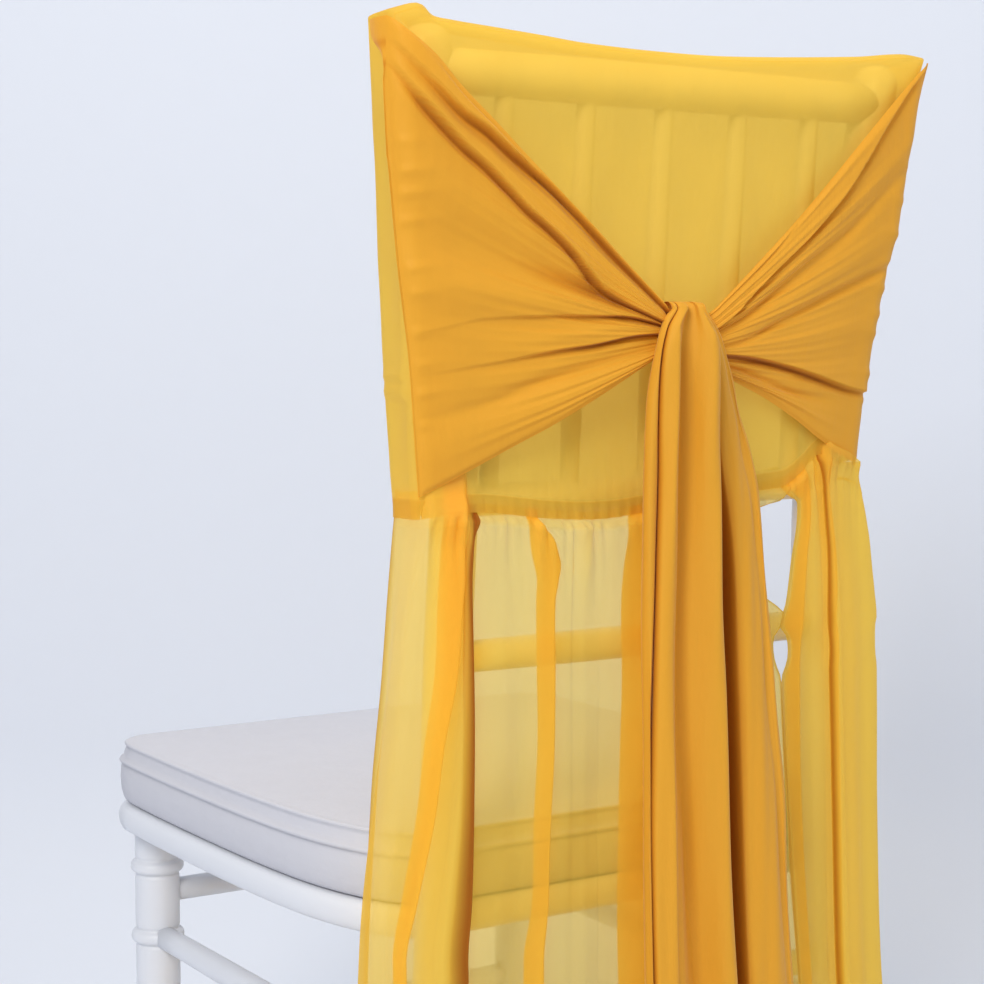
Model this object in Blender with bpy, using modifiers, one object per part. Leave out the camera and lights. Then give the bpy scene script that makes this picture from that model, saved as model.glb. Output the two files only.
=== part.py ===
"""A sheer chair cover with a tied sash, hung on the back of a turned banquet chair.

Metres, +Z up. Seen from behind the chair, +X is to the right, and +Y is the way the
sitter faces. The origin is on the floor, under the middle of the whole thing.
"""

from math import cos, exp, pi, radians, sin, sqrt

import bmesh
import bpy

# Driving dimensions of the chair
BACK_Y = -0.168  # rear face of the covered back, at the seat
SEAT_Z = 0.398  # top of the seat board
SEAT_THICK = 0.020
SEAT_DEPTH = 0.425
PAD_THICK = 0.046
SEAT_CORNER_R = 0.030
POST_R = 0.014
POST_RING_R = 0.0165
POST_KICK = 0.016  # how far the foot of a post is set rearwards
FOOT_Z = 0.02  # height of the upright foot of a post
RAIL_R = 0.010
SPINDLE_R = 0.0065
SPINDLE_STEP = 0.0575
CREST_Z = 0.8905
CREST_R = 0.0135
RAIL_ZS = (0.645, 0.552)
LEG_X = 0.160
LEG_RING_R = 0.0195
LEG_RINGS = (0.104, 0.293, 0.346)
POST_RINGS = (0.104, 0.246)
RING_HALF = 0.004  # half height of the round of a ring
RING_REACH = 0.010  # half height of a ring with the slopes to its shaft
STRETCHER_R = 0.009
SIDE_STRETCHER_ZS = (0.293, 0.175)
CROSS_STRETCHER_ZS = (0.325, 0.210)
LEG_Y_FROM_FRONT = 0.017
BOARD_ROUND = 0.004
PAD_INSET = 0.002
PAD_ROUND = 0.010
PAD_CROWN = 0.005
PAD_CROWN_INSET = 0.026
TONGUE_CLEAR = 0.002  # from the seat's tongue to the posts beside it
TONGUE_FORWARD = 0.008  # from the rear face of the back to the end of the tongue

# Driving dimensions of the cover
TOP_Z = 0.920
HEM_Z = 0.640
HOOD_DEPTH = 0.036  # from the rear face to the front face
CORNER_R = 0.010
BEND_Z = 0.55  # the back leans rearwards above this
LEAN = 0.025  # how far the top leans
SKIRT_END_Z = 0.045
SKIRT_FLARE = 0.050
SKIRT_SPREAD = 0.026  # how far its left corner moves outwards on the way down
SKIRT_RIPPLE = 0.003
HOOD_SLACK = 0.0015
CLOTH = 0.0012  # thickness of a layer of the sheer cloth
SASH = 0.0014  # thickness of the sash
GAP = 0.0004  # between pieces that touch
SEAM_ANGLE = radians(45)  # where the corners of the hood are sewn
WING_SAG = 0.006
WING_TURN = 0.85  # how fully a wing follows the hood round its corner
KNOT_Z = 0.744
KNOT_LEFT_X = -0.034
KNOT_RIGHT_X = 0.030
TAIL_FRONT_END_Z = 0.10
TAIL_REAR_END_Z = 0.14

# Rows of (height, half width) or (place across, height)
POST_X = (
    (0.0, 0.166),
    (0.20, 0.158),
    (0.39, 0.148),
    (0.54, 0.142),
    (0.66, 0.1395),
    (0.80, 0.156),
    (0.92, 0.171),
)
HOOD_LEFT = ((0.64, 0.173), (0.70, 0.180), (0.77, 0.187), (0.84, 0.193), (0.92, 0.201))
HOOD_RIGHT = ((0.64, 0.160), (0.67, 0.1595), (0.74, 0.1675), (0.77, 0.173), (0.81, 0.182), (0.92, 0.1945))
TOP_LINE = (
    (-0.201, 0.917),
    (-0.180, 0.9265),
    (-0.150, 0.915),
    (-0.06, 0.909),
    (0.04, 0.911),
    (0.14, 0.918),
    (0.180, 0.9225),
    (0.195, 0.919),
)
HEM_LINE = ((-0.18, 0.638), (-0.10, 0.645), (0.0, 0.642), (0.07, 0.648), (0.10, 0.654), (0.17, 0.661))
# Distance forwards from the rear face of the back, half width of the seat
SEAT_SIDE = (
    (0.036, 0.146),
    (0.055, 0.163),
    (0.08, 0.175),
    (0.12, 0.185),
    (0.18, 0.191),
    (0.26, 0.194),
    (0.36, 0.195),
    (0.425, 0.193),
)
# Half width of the skirt's right side
SKIRT_RIGHT = (
    (0.045, 0.186),
    (0.30, 0.172),
    (0.43, 0.174),
    (0.56, 0.176),
    (0.60, 0.173),
    (0.63, 0.167),
    (0.66, 0.157),
)

# Folds of the skirt: place across at the hem, place at the bottom, depth, half breadth
SKIRT_FOLDS = (
    (-0.156, -0.196, 0.011, 0.011),
    (-0.139, -0.172, 0.005, 0.006),
    (-0.118, -0.150, 0.006, 0.008),
    (-0.094, -0.126, 0.010, 0.009),
    (-0.057, -0.090, 0.007, 0.009),
    (-0.024, -0.052, 0.009, 0.010),
    (0.014, -0.008, 0.007, 0.011),
    (0.052, 0.040, 0.008, 0.010),
    (0.078, 0.086, 0.005, 0.008),
    (0.112, 0.118, 0.006, 0.007),
    (0.128, 0.142, 0.010, 0.009),
    (0.148, 0.170, 0.006, 0.008),
)
# Slit: height, right edge of the left panel, left edge of the right panel
SLIT = (
    (0.66, 0.073, 0.099),
    (0.63, 0.079, 0.1055),
    (0.60, 0.084, 0.102),
    (0.57, 0.088, 0.0965),
    (0.54, 0.0895, 0.0925),
    (0.40, 0.090, 0.0925),
    (0.045, 0.100, 0.1025),
)
# Tails: height, left edge, right edge, distance from the rear face of the back
TAIL_FRONT = (
    (0.768, -0.026, -0.010, 0.026),
    (0.762, -0.034, -0.004, 0.036),
    (0.74, -0.039, 0.007, 0.041),
    (0.70, -0.0435, 0.013, 0.041),
    (0.60, -0.0445, 0.018, 0.0445),
    (0.50, -0.0425, 0.022, 0.049),
    (0.36, -0.046, 0.020, 0.059),
    (TAIL_FRONT_END_Z, -0.050, 0.022, 0.084),
)
TAIL_REAR = (
    (0.764, 0.002, 0.028, 0.0150),
    (0.755, 0.000, 0.041, 0.0155),
    (0.70, -0.004, 0.052, 0.0165),
    (0.64, -0.006, 0.058, 0.0215),
    (0.57, -0.004, 0.067, 0.0270),
    (0.48, 0.000, 0.079, 0.0335),
    (0.34, 0.002, 0.083, 0.0440),
    (TAIL_REAR_END_Z, 0.004, 0.086, 0.0650),
)
# Wings: share of the seam from its lower end, height at the seam, height at the knot
WING_LEFT = (
    (0.0, 0.650, 0.726),
    (0.2, 0.702, 0.732),
    (0.4, 0.754, 0.743),
    (0.6, 0.806, 0.749),
    (0.8, 0.858, 0.754),
    (1.0, 0.908, 0.763),
)
WING_RIGHT = (
    (0.0, 0.665, 0.714),
    (0.2, 0.713, 0.723),
    (0.4, 0.760, 0.734),
    (0.6, 0.808, 0.744),
    (0.8, 0.856, 0.752),
    (1.0, 0.902, 0.762),
)
# How far in from the left side its wing is sewn, by height
WING_LEFT_INSET = ((0.64, 0.0045), (0.72, 0.0045), (0.78, 0.0015), (0.84, 0.0), (0.92, 0.0))
# How much the upper edge of a wing is raised halfway to the knot
WING_EDGE_LIFT = {-1: 0.009, 1: 0.003}
# Ridges of the wings: share of the seam, height, half breadth
WING_LEFT_RIDGES = (
    (0.95, 0.006, 0.05),
    (0.80, 0.005, 0.05),
    (0.63, 0.004, 0.06),
    (0.46, 0.005, 0.05),
    (0.28, 0.004, 0.05),
    (0.10, 0.004, 0.05),
)
WING_RIGHT_RIDGES = (
    (0.93, 0.005, 0.05),
    (0.76, 0.005, 0.05),
    (0.58, 0.004, 0.05),
    (0.40, 0.004, 0.05),
    (0.22, 0.005, 0.05),
    (0.06, 0.004, 0.05),
)

for old in list(bpy.data.objects):
    bpy.data.objects.remove(old)

model = bpy.data.collections.new("chair_cover_with_sash")
cutters = bpy.data.collections.new("cutters")
bpy.context.scene.collection.children.link(model)
bpy.context.scene.collection.children.link(cutters)


def material(name, colour, roughness, alpha=1.0):
    made = bpy.data.materials.new(name)
    made.use_nodes = True
    shader = made.node_tree.nodes["Principled BSDF"]
    shader.inputs["Base Color"].default_value = (*colour, 1.0)
    shader.inputs["Roughness"].default_value = roughness
    shader.inputs["Metallic"].default_value = 0.0
    shader.inputs["Alpha"].default_value = alpha
    return made


sheer = material("sheer_gold_chiffon", (0.84, 0.50, 0.10), 0.75)
gold = material("gold_chiffon_sash", (0.70, 0.35, 0.04), 0.75)
white_paint = material("white_paint", (0.80, 0.81, 0.83), 0.45)
white_cloth = material("white_seat_cloth", (0.78, 0.78, 0.80), 0.85)


def along(table, t, column=1):
    """The column's value at t, on a smooth curve through the table's rows."""
    rows = table if table[0][0] < table[-1][0] else tuple(reversed(table))
    t = min(max(t, rows[0][0]), rows[-1][0])
    last = len(rows) - 1
    k = next(i for i in range(last) if t <= rows[i + 1][0])

    def slope(i):
        a, b = rows[max(i - 1, 0)], rows[min(i + 1, last)]
        return (b[column] - a[column]) / (b[0] - a[0])

    step = rows[k + 1][0] - rows[k][0]
    s = (t - rows[k][0]) / step
    rise = rows[k + 1][column] - rows[k][column]
    return (
        rows[k][column]
        + rise * s * s * (3 - 2 * s)
        + slope(k) * step * s * (1 - s) ** 2
        - slope(k + 1) * step * s * s * (1 - s)
    )


def mix(a, b, share):
    return a + (b - a) * share


def bump(distance, breadth):
    return exp(-((distance / breadth) ** 2))


def rear_y(z):
    """Rear face of the covered back, upright below the bend and leaning above it."""
    above = max(0.0, (z - BEND_Z) / (TOP_Z - BEND_Z))
    return BACK_Y - LEAN * above**1.5


def finish(mesh, name, look, smooth_angle=40):
    thing = bpy.data.objects.new(name, mesh)
    model.objects.link(thing)
    mesh.materials.clear()
    mesh.materials.append(look)
    mesh.shade_smooth()
    mesh.set_sharp_from_angle(angle=radians(smooth_angle))
    return thing


def sheet(name, place, across, down, thickness, look):
    """Cloth on a grid: place(u, v) gives a point for u and v in the lists across and down."""
    bm = bmesh.new()
    grid = [[bm.verts.new(place(u, v)) for u in across] for v in down]
    for upper, lower in zip(grid, grid[1:]):
        for k in range(len(across) - 1):
            bm.faces.new((upper[k], upper[k + 1], lower[k + 1], lower[k]))
    mesh = bpy.data.meshes.new(name)
    bm.to_mesh(mesh)
    bm.free()
    cloth = finish(mesh, name, look, 60)
    solid = cloth.modifiers.new("thickness", "SOLIDIFY")
    solid.thickness = thickness
    solid.offset = 0.0
    return cloth


def spaced(count, start=0.0, end=1.0):
    return [mix(start, end, k / (count - 1)) for k in range(count)]


# The chair


def turned(name, stations, sides=12, radius_added=0.0):
    """A round member through (point, radius) stations, as a mesh."""
    curve = bpy.data.curves.new(name, "CURVE")
    curve.dimensions = "3D"
    curve.bevel_depth = 1.0
    curve.bevel_resolution = sides // 2 - 2
    curve.render_resolution_u = 0
    curve.use_fill_caps = True
    line = curve.splines.new("POLY")
    line.points.add(len(stations) - 1)
    for point, (place, radius) in zip(line.points, stations):
        point.co = (*place, 1.0)
        point.radius = radius + radius_added
    guide = bpy.data.objects.new(name, curve)
    cutters.objects.link(guide)
    bpy.context.view_layer.update()
    mesh = bpy.data.meshes.new_from_object(guide.evaluated_get(bpy.context.evaluated_depsgraph_get()))
    bpy.data.objects.remove(guide)
    bm = bmesh.new()
    bm.from_mesh(mesh)
    bmesh.ops.remove_doubles(bm, verts=bm.verts, dist=0.00001)
    bmesh.ops.recalc_face_normals(bm, faces=bm.faces)
    bm.to_mesh(mesh)
    bm.free()
    mesh.name = name
    return mesh


def member(name, stations, sides=12):
    return finish(turned(name, stations, sides), name, white_paint)


def cutter(name, stations, sides=12):
    """A guide a little larger than a member, which leaves a gap round it."""
    tool = bpy.data.objects.new(name, turned(name, stations, sides, GAP))
    tool.hide_render = True
    tool.display_type = "WIRE"
    cutters.objects.link(tool)
    return tool


def fit_against(thing, tools):
    for tool in tools:
        cut = thing.modifiers.new("fit_" + tool.name, "BOOLEAN")
        cut.operation = "DIFFERENCE"
        cut.object = tool


def post_axis(side, z):
    """Middle of a back post: it kicks rearwards below the seat and stands square on the floor."""
    floor, z = z, max(z, FOOT_Z)
    kick = POST_KICK * max(0.0, 1 - z / SEAT_Z) ** 2
    return (side * along(POST_X, z), rear_y(z) + HOOD_DEPTH / 2 - kick, floor)


def with_rings(rows, heights, ring):
    """Adds a turned ring at each of these heights to (height, radius) rows."""
    for z in heights:
        shaft = next(radius for height, radius in reversed(rows) if height < z)
        rows += [(z - RING_REACH, shaft), (z - RING_HALF, ring)]
        rows += [(z + RING_HALF, ring), (z + RING_REACH, shaft)]
    return sorted(rows)


def post_stations(side):
    """A back post: rings below the seat, plain under the hood and domed at its top."""
    plain = [(z, POST_R) for z in (0.09, 0.18, 0.30, 0.39, 0.46, 0.54, 0.60, 0.66, 0.73, 0.80, 0.87, 0.904)]
    rows = [(0.0, 0.0105), (FOOT_Z, 0.012)] + plain + [(0.911, 0.0115), (0.915, 0.006)]
    return [(post_axis(side, z), radius) for z, radius in with_rings(rows, POST_RINGS, POST_RING_R)]


def leg_stations(side):
    """A front leg, with its turned rings."""
    under_seat = SEAT_Z - SEAT_THICK - GAP
    rows = [(0.0, 0.0115), (0.025, 0.0135), (0.09, 0.0155), (0.28, 0.0165), (under_seat, 0.0165)]
    return [((side * LEG_X, LEG_Y, z), radius) for z, radius in with_rings(rows, LEG_RINGS, LEG_RING_R)]


def bar(name, start, end, radius, tools, sides=8):
    """A round bar from axis to axis, cut back where it meets the members at its ends."""
    middle = tuple((a + b) / 2 for a, b in zip(start, end))
    stations = [(start, radius), (middle, radius), (end, radius)]
    made = member(name, stations, sides)
    fit_against(made, tools)
    return stations


LEG_Y = BACK_Y + SEAT_DEPTH - LEG_Y_FROM_FRONT
SIDES = (("left", -1), ("right", 1))
posts, legs, rails = [], [], []
for label, side in SIDES:
    member("back_post_" + label, post_stations(side))
    posts.append(cutter("post_guide_" + label, post_stations(side)))
    member("front_leg_" + label, leg_stations(side))
    legs.append(cutter("leg_guide_" + label, leg_stations(side)))

ACROSS = (
    ("crest_rail", CREST_Z, CREST_R),
    ("back_rail_upper", RAIL_ZS[0], RAIL_R),
    ("back_rail_lower", RAIL_ZS[1], RAIL_R),
)
for label, z, radius in ACROSS:
    stations = bar(label, post_axis(-1, z), post_axis(1, z), radius, posts, 12)
    rails.append(cutter(label + "_guide", stations))

for k in range(5):
    x = (k - 2) * SPINDLE_STEP
    ends = [(x, rear_y(z) + HOOD_DEPTH / 2, z) for z in (RAIL_ZS[0], CREST_Z)]
    bar(f"spindle_{k + 1}", *ends, SPINDLE_R, rails)

for k, z in enumerate(SIDE_STRETCHER_ZS):
    for index, (label, side) in enumerate(SIDES):
        front = (side * LEG_X, LEG_Y, z)
        meets = (posts[index], legs[index])
        bar(f"side_stretcher_{label}_{k + 1}", front, post_axis(side, z), STRETCHER_R, meets)
for k, z in enumerate(CROSS_STRETCHER_ZS):
    ends = [(side * LEG_X, LEG_Y, z) for _, side in SIDES]
    bar(f"front_stretcher_{k + 1}", *ends, STRETCHER_R, legs)
    bar(f"rear_stretcher_{k + 1}", post_axis(-1, z), post_axis(1, z), STRETCHER_R, posts)


def slab(name, outline, bottom, top, crown, rounding, steps, look):
    """A flat piece with this outline, its top raised by crown inside an edge strip."""
    bm = bmesh.new()
    face = bm.faces.new([bm.verts.new((x, y, bottom)) for x, y in outline])
    sides = bmesh.ops.extrude_face_region(bm, geom=[face])["geom"]
    raised = [v for v in sides if isinstance(v, bmesh.types.BMVert)]
    bmesh.ops.translate(bm, verts=raised, vec=(0, 0, top - bottom))
    if crown:
        lid = [f for f in sides if isinstance(f, bmesh.types.BMFace)]
        bmesh.ops.inset_region(bm, faces=lid, thickness=PAD_CROWN_INSET, depth=crown)
    bmesh.ops.recalc_face_normals(bm, faces=bm.faces)
    mesh = bpy.data.meshes.new(name)
    bm.to_mesh(mesh)
    bm.free()
    piece = finish(mesh, name, look)
    edge = piece.modifiers.new("rounding", "BEVEL")
    edge.width = rounding
    edge.segments = steps
    edge.limit_method = "ANGLE"
    edge.angle_limit = radians(40)
    return piece


def seat_outline(inset):
    """Bowed sides that draw in to round rear corners, and round front corners."""
    front_x = along(SEAT_SIDE, SEAT_DEPTH) - inset
    front_y = BACK_Y + SEAT_DEPTH - inset
    turn = SEAT_CORNER_R - inset
    straight = [row for row in SEAT_SIDE if row[0] < SEAT_DEPTH - SEAT_CORNER_R]
    sides = [(half - inset, BACK_Y + forward) for forward, half in straight]
    corner = [
        (front_x - turn + turn * cos(a), front_y - turn + turn * sin(a))
        for a in (radians(4), radians(32), radians(60), radians(88))
    ]
    half = sides + corner
    return half + [(-x, y) for x, y in reversed(half)]


behind_posts = BACK_Y + SEAT_SIDE[0][0]
board = seat_outline(0.0)
between_posts = along(POST_X, SEAT_Z) - POST_R - TONGUE_CLEAR
tongue_y = BACK_Y + TONGUE_FORWARD
tongue = [
    (-between_posts, behind_posts),
    (-between_posts, tongue_y),
    (between_posts, tongue_y),
    (between_posts, behind_posts),
]
pad = seat_outline(PAD_INSET)
pad_edge_z = SEAT_Z + PAD_THICK - PAD_CROWN
slab("seat_board", board + tongue, SEAT_Z - SEAT_THICK, SEAT_Z, 0.0, BOARD_ROUND, 2, white_paint)
slab("seat_pad", pad, SEAT_Z + GAP, pad_edge_z, PAD_CROWN, PAD_ROUND, 3, white_cloth)


# The hood


def hood_point(u, v, inset, depth):
    """A point of the hood: u across and v up its outline, inset from it and depth from its rear face."""
    nominal = mix(HEM_Z, TOP_Z, v)
    x = mix(-along(HOOD_LEFT, nominal) + inset, along(HOOD_RIGHT, nominal) - inset, u)
    low = along(HEM_LINE, x)
    z = mix(low, along(TOP_LINE, x) - inset, v)
    return (x, rear_y(z) + depth, z)


def rounded_depth(distance, radius=CORNER_R):
    """How far the rear face has turned forwards at this distance from the outline."""
    rest = max(0.0, radius - distance)
    return radius - sqrt(radius**2 - rest**2)


def edge_stops(width, count):
    """Shares across a panel, with extra stops where its edges turn."""
    turns = [0.0, TURN_STOPS[0] / width, TURN_STOPS[1] / width]
    inner = spaced(count, 0.06, 0.94)
    return turns + inner + [1 - t for t in reversed(turns)]


TURN_STOPS = (0.0025, 0.0075)  # from a panel's edge, in the round of the hood's corner
PANEL_INSET = CORNER_R * (1 - sin(SEAM_ANGLE)) + GAP * 4
HOOD_WIDTH = 0.36
HOOD_HEIGHT = TOP_Z - HEM_Z


def hood_panel(front):
    def place(u, v):
        x, y, z = hood_point(u, v, PANEL_INSET, 0.0)
        low, high = hood_point(0.0, v, 0.0, 0.0)[0], hood_point(1.0, v, 0.0, 0.0)[0]
        near = min(x - low, high - x, along(TOP_LINE, x) - z)
        depth = rounded_depth(near)
        slack = HOOD_SLACK * sin(pi * u) * sin(pi * min(1.0, v * 1.2))
        return (x, y + (HOOD_DEPTH - depth - slack if front else depth + slack), z)

    return place


hood_rows = spaced(9, 0.0, 0.94) + [1 - stop / HOOD_HEIGHT for stop in reversed(TURN_STOPS)] + [1.0]
hood_columns = edge_stops(HOOD_WIDTH, 9)
sheet("hood_back", hood_panel(False), hood_columns, hood_rows, CLOTH, sheer)
sheet("hood_front", hood_panel(True), list(reversed(hood_columns)), hood_rows, CLOTH, sheer)

GUSSET_TURNS = (SEAM_ANGLE, radians(67), radians(90))
GUSSET_SECTION = [(CORNER_R * (1 - sin(a)), CORNER_R * (1 - cos(a))) for a in GUSSET_TURNS]
GUSSET_SECTION += [(inset, HOOD_DEPTH - depth) for inset, depth in reversed(GUSSET_SECTION)]
SIDE_STOPS = spaced(9, 0.0, 0.97) + [1.0]
TOP_STOPS = spaced(13)[1:-1]
gusset_path = [(0.0, v) for v in SIDE_STOPS]
gusset_path += [(u, 1.0) for u in TOP_STOPS]
gusset_path += [(1.0, v) for v in reversed(SIDE_STOPS)]


def gusset_place(path_index, section_index):
    return hood_point(*gusset_path[int(path_index)], *GUSSET_SECTION[int(section_index)])


sheet("hood_gusset", gusset_place, range(len(gusset_path)), range(len(GUSSET_SECTION)), CLOTH, sheer)


# The skirt


def skirt_place(across, way_round):
    """Maps a panel: across gives x for a share and a height, way_round what goes round the chair's side."""

    def place(u, v):
        side, share, direction = way_round(u)
        hem_x = across(share, HEM_Z)
        z = mix(along(HEM_LINE, hem_x) - CLOTH - GAP, SKIRT_END_Z, v)
        fall = (HEM_Z + 0.02 - z) / (HEM_Z - SKIRT_END_Z)
        flare = SKIRT_FLARE * max(0.0, fall) ** 1.2
        x = across(share, z)
        fold = sum(
            height * bump(x - mix(top, end, fall), breadth * mix(0.8, 1.3, fall))
            for top, end, height, breadth in SKIRT_FOLDS
        )
        out = flare + fold * min(1.0, 0.12 + 1.6 * max(0.0, fall))
        y = rear_y(z) - out
        if not side:
            return (x, y, z)
        corner = CORNER_R + flare * 0.3
        forward = side * (HOOD_DEPTH - CORNER_R + out)
        ripple = SKIRT_RIPPLE * sin(side * 9.0 + 4 * v) * min(1.0, 3 * v)
        bulge = 0.35 * corner * min(1.0, side * 4)
        return (x + direction * (bulge + ripple), y + corner * 0.4 + forward, z)

    return place


LEFT_ROUND = 0.12  # share of each panel that goes round the chair's side
RIGHT_ROUND = 0.30


def left_panel_share(u):
    if u < LEFT_ROUND:
        return (1 - u / LEFT_ROUND, 0.0, -1)
    return (0.0, (u - LEFT_ROUND) / (1 - LEFT_ROUND), 0)


def right_panel_share(u):
    if u > 1 - RIGHT_ROUND:
        return ((u - 1 + RIGHT_ROUND) / RIGHT_ROUND, 1.0, 1)
    return (0.0, u / (1 - RIGHT_ROUND), 0)


def left_x(share, z):
    spread = SKIRT_SPREAD * max(0.0, (HEM_Z - z) / HEM_Z)
    low = -along(HOOD_LEFT, HEM_Z) + CORNER_R * 0.4 - spread
    return mix(low, along(SLIT, z, 1), share)


def right_x(share, z):
    return mix(along(SLIT, z, 2), along(SKIRT_RIGHT, z), share)


skirt_rows = [0.0, 0.03, 0.08, 0.15, 0.24, 0.36, 0.5, 0.66, 0.83, 1.0]
left_stops = spaced(6, 0.0, LEFT_ROUND)[:-1] + spaced(42, LEFT_ROUND, 1.0)
right_stops = spaced(16, 0.0, 1 - RIGHT_ROUND)[:-1] + spaced(6, 1 - RIGHT_ROUND, 1.0)
sheet("skirt_left", skirt_place(left_x, left_panel_share), left_stops, skirt_rows, CLOTH, sheer)
sheet("skirt_right", skirt_place(right_x, right_panel_share), right_stops, skirt_rows, CLOTH, sheer)


# The sash

WING_CLEAR = CLOTH / 2 + SASH / 2 + GAP * 3


def wing(name, side, table, inset, ridges, knot_x, knot_out):
    """A wing of the sash, from the side seam at a = 0 to the knot at a = 1, b going up it."""
    corner = CORNER_R + WING_CLEAR
    half = HOOD_LEFT if side < 0 else HOOD_RIGHT

    def place(a, b):
        seam_z, knot_z = along(table, b, 1), along(table, b, 2)
        seam_x = side * (along(half, seam_z) + WING_CLEAR - inset(seam_z))
        x = mix(seam_x, knot_x, a)
        z = mix(seam_z, knot_z, a) + (WING_EDGE_LIFT[side] * b**8 - WING_SAG * (1 - b)) * sin(pi * a)
        distance = side * (side * (along(half, z) + WING_CLEAR) - x)
        turn = rounded_depth(max(0.0, distance), corner) * WING_TURN - WING_CLEAR
        ridge = sum(height * bump(b - where, breadth) for where, height, breadth in ridges)
        out = knot_out * a**1.4 + ridge * sin(pi * a**0.8) ** 1.2
        return (x, rear_y(z) + turn - out, z)

    stops = [0.0, 0.02, 0.05, 0.10, 0.18, 0.3, 0.42, 0.54, 0.66, 0.78, 0.89, 1.0]
    rows = spaced(25) if side < 0 else list(reversed(spaced(25)))
    return sheet(name, place, stops, rows, SASH, gold)


def tail(name, table, folds):
    """A tail: folds give share across, height and half breadth of its ridges."""

    def place(u, v):
        z = mix(table[0][0], table[-1][0], v)
        x = mix(along(table, z, 1), along(table, z, 2), u)
        ridge = sum(height * bump(u - where, breadth) for where, height, breadth in folds)
        settle = min(1.0, v * 9)
        return (x, BACK_Y - along(table, z, 3) - ridge * settle + (rear_y(z) - BACK_Y), z)

    rows = [0.0, 0.012, 0.03, 0.06, 0.11, 0.18, 0.27, 0.38, 0.5, 0.64, 0.8, 1.0]
    return sheet(name, place, spaced(17), rows, SASH, gold)


def unite(body, others):
    """Sews the pieces of one sash panel into one solid."""
    for other in others:
        join = body.modifiers.new("sewn_" + other.name, "BOOLEAN")
        join.operation = "UNION"
        join.object = other
        other.hide_render = True
        other.display_type = "WIRE"
        model.objects.unlink(other)
        cutters.objects.link(other)


def knot_core(name, centre, radii):
    bm = bmesh.new()
    bmesh.ops.create_icosphere(bm, subdivisions=3, radius=1.0)
    for v in bm.verts:
        v.co = [c + r * p for c, r, p in zip(centre, radii, v.co)]
    mesh = bpy.data.meshes.new(name)
    bm.to_mesh(mesh)
    bm.free()
    return finish(mesh, name, gold)


def left_inset(z):
    return along(WING_LEFT_INSET, z)


def no_inset(z):
    return 0.0


core_centre = (-0.014, rear_y(KNOT_Z) - 0.033, KNOT_Z)
core = knot_core("knot_core", core_centre, (0.029, 0.0110, 0.022))
front_tail = tail("tail_front", TAIL_FRONT, ((0.03, 0.004, 0.09), (0.27, 0.005, 0.08), (0.80, 0.006, 0.14)))
sash_left = wing("sash_left", -1, WING_LEFT, left_inset, WING_LEFT_RIDGES, KNOT_LEFT_X, 0.028)
unite(sash_left, (core, front_tail))

turn_centre = (0.031, rear_y(KNOT_Z) - 0.0135, KNOT_Z - 0.003)
turn = knot_core("knot_turn", turn_centre, (0.013, 0.0055, 0.027))
rear_tail = tail("tail_rear", TAIL_REAR, ((0.35, 0.002, 0.12), (0.72, 0.004, 0.10), (0.97, 0.003, 0.08)))
sash_right = wing("sash_right", 1, WING_RIGHT, no_inset, WING_RIGHT_RIDGES, KNOT_RIGHT_X, 0.0105)
unite(sash_right, (turn, rear_tail))
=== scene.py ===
from math import cos, pi, radians, sin

import bpy
import numpy as np
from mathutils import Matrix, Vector


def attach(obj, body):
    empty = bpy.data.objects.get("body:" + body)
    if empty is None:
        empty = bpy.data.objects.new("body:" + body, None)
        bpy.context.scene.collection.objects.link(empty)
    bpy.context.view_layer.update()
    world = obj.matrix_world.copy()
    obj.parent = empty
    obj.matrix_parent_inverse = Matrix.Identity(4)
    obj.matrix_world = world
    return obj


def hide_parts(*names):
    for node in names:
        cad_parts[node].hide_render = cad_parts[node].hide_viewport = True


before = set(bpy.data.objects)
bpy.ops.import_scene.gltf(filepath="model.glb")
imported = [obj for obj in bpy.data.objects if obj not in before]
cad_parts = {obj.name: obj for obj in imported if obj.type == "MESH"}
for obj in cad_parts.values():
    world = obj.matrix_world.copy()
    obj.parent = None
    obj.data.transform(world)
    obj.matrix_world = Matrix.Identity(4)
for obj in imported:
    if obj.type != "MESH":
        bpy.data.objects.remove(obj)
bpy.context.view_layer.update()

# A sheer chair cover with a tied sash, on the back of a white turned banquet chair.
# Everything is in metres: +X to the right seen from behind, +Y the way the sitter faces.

# Sizes that several pieces share
backFace = -0.168  # rear face of the covered back, at the seat
bendHeight = 0.55  # the back leans rearwards above this
topHeight = 0.920
hemHeight = 0.640
backLean = 0.025
hoodDepth = 0.036
hoodCorner = 0.010
clothGap = 0.0025  # from the hood to the sash that lies on it


# Camera

cameraView = {
    "place": (-0.7591, -1.1690, 0.7402),
    "turn": -32.486,
    "tilt": 85.686,
    "lens": 74.8,
    "sensor": 36.0,
}


def buildCamera():
    lens = bpy.data.cameras.new("view")
    lens.lens = cameraView["lens"]
    lens.sensor_width = cameraView["sensor"]
    lens.clip_end = 60.0
    camera = bpy.data.objects.new("view", lens)
    camera.location = cameraView["place"]
    camera.rotation_euler = (radians(cameraView["tilt"]), 0.0, radians(cameraView["turn"]))
    bpy.context.scene.collection.objects.link(camera)
    bpy.context.scene.camera = camera


buildCamera()
print("camera placed")


# Helpers for shapes


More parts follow.
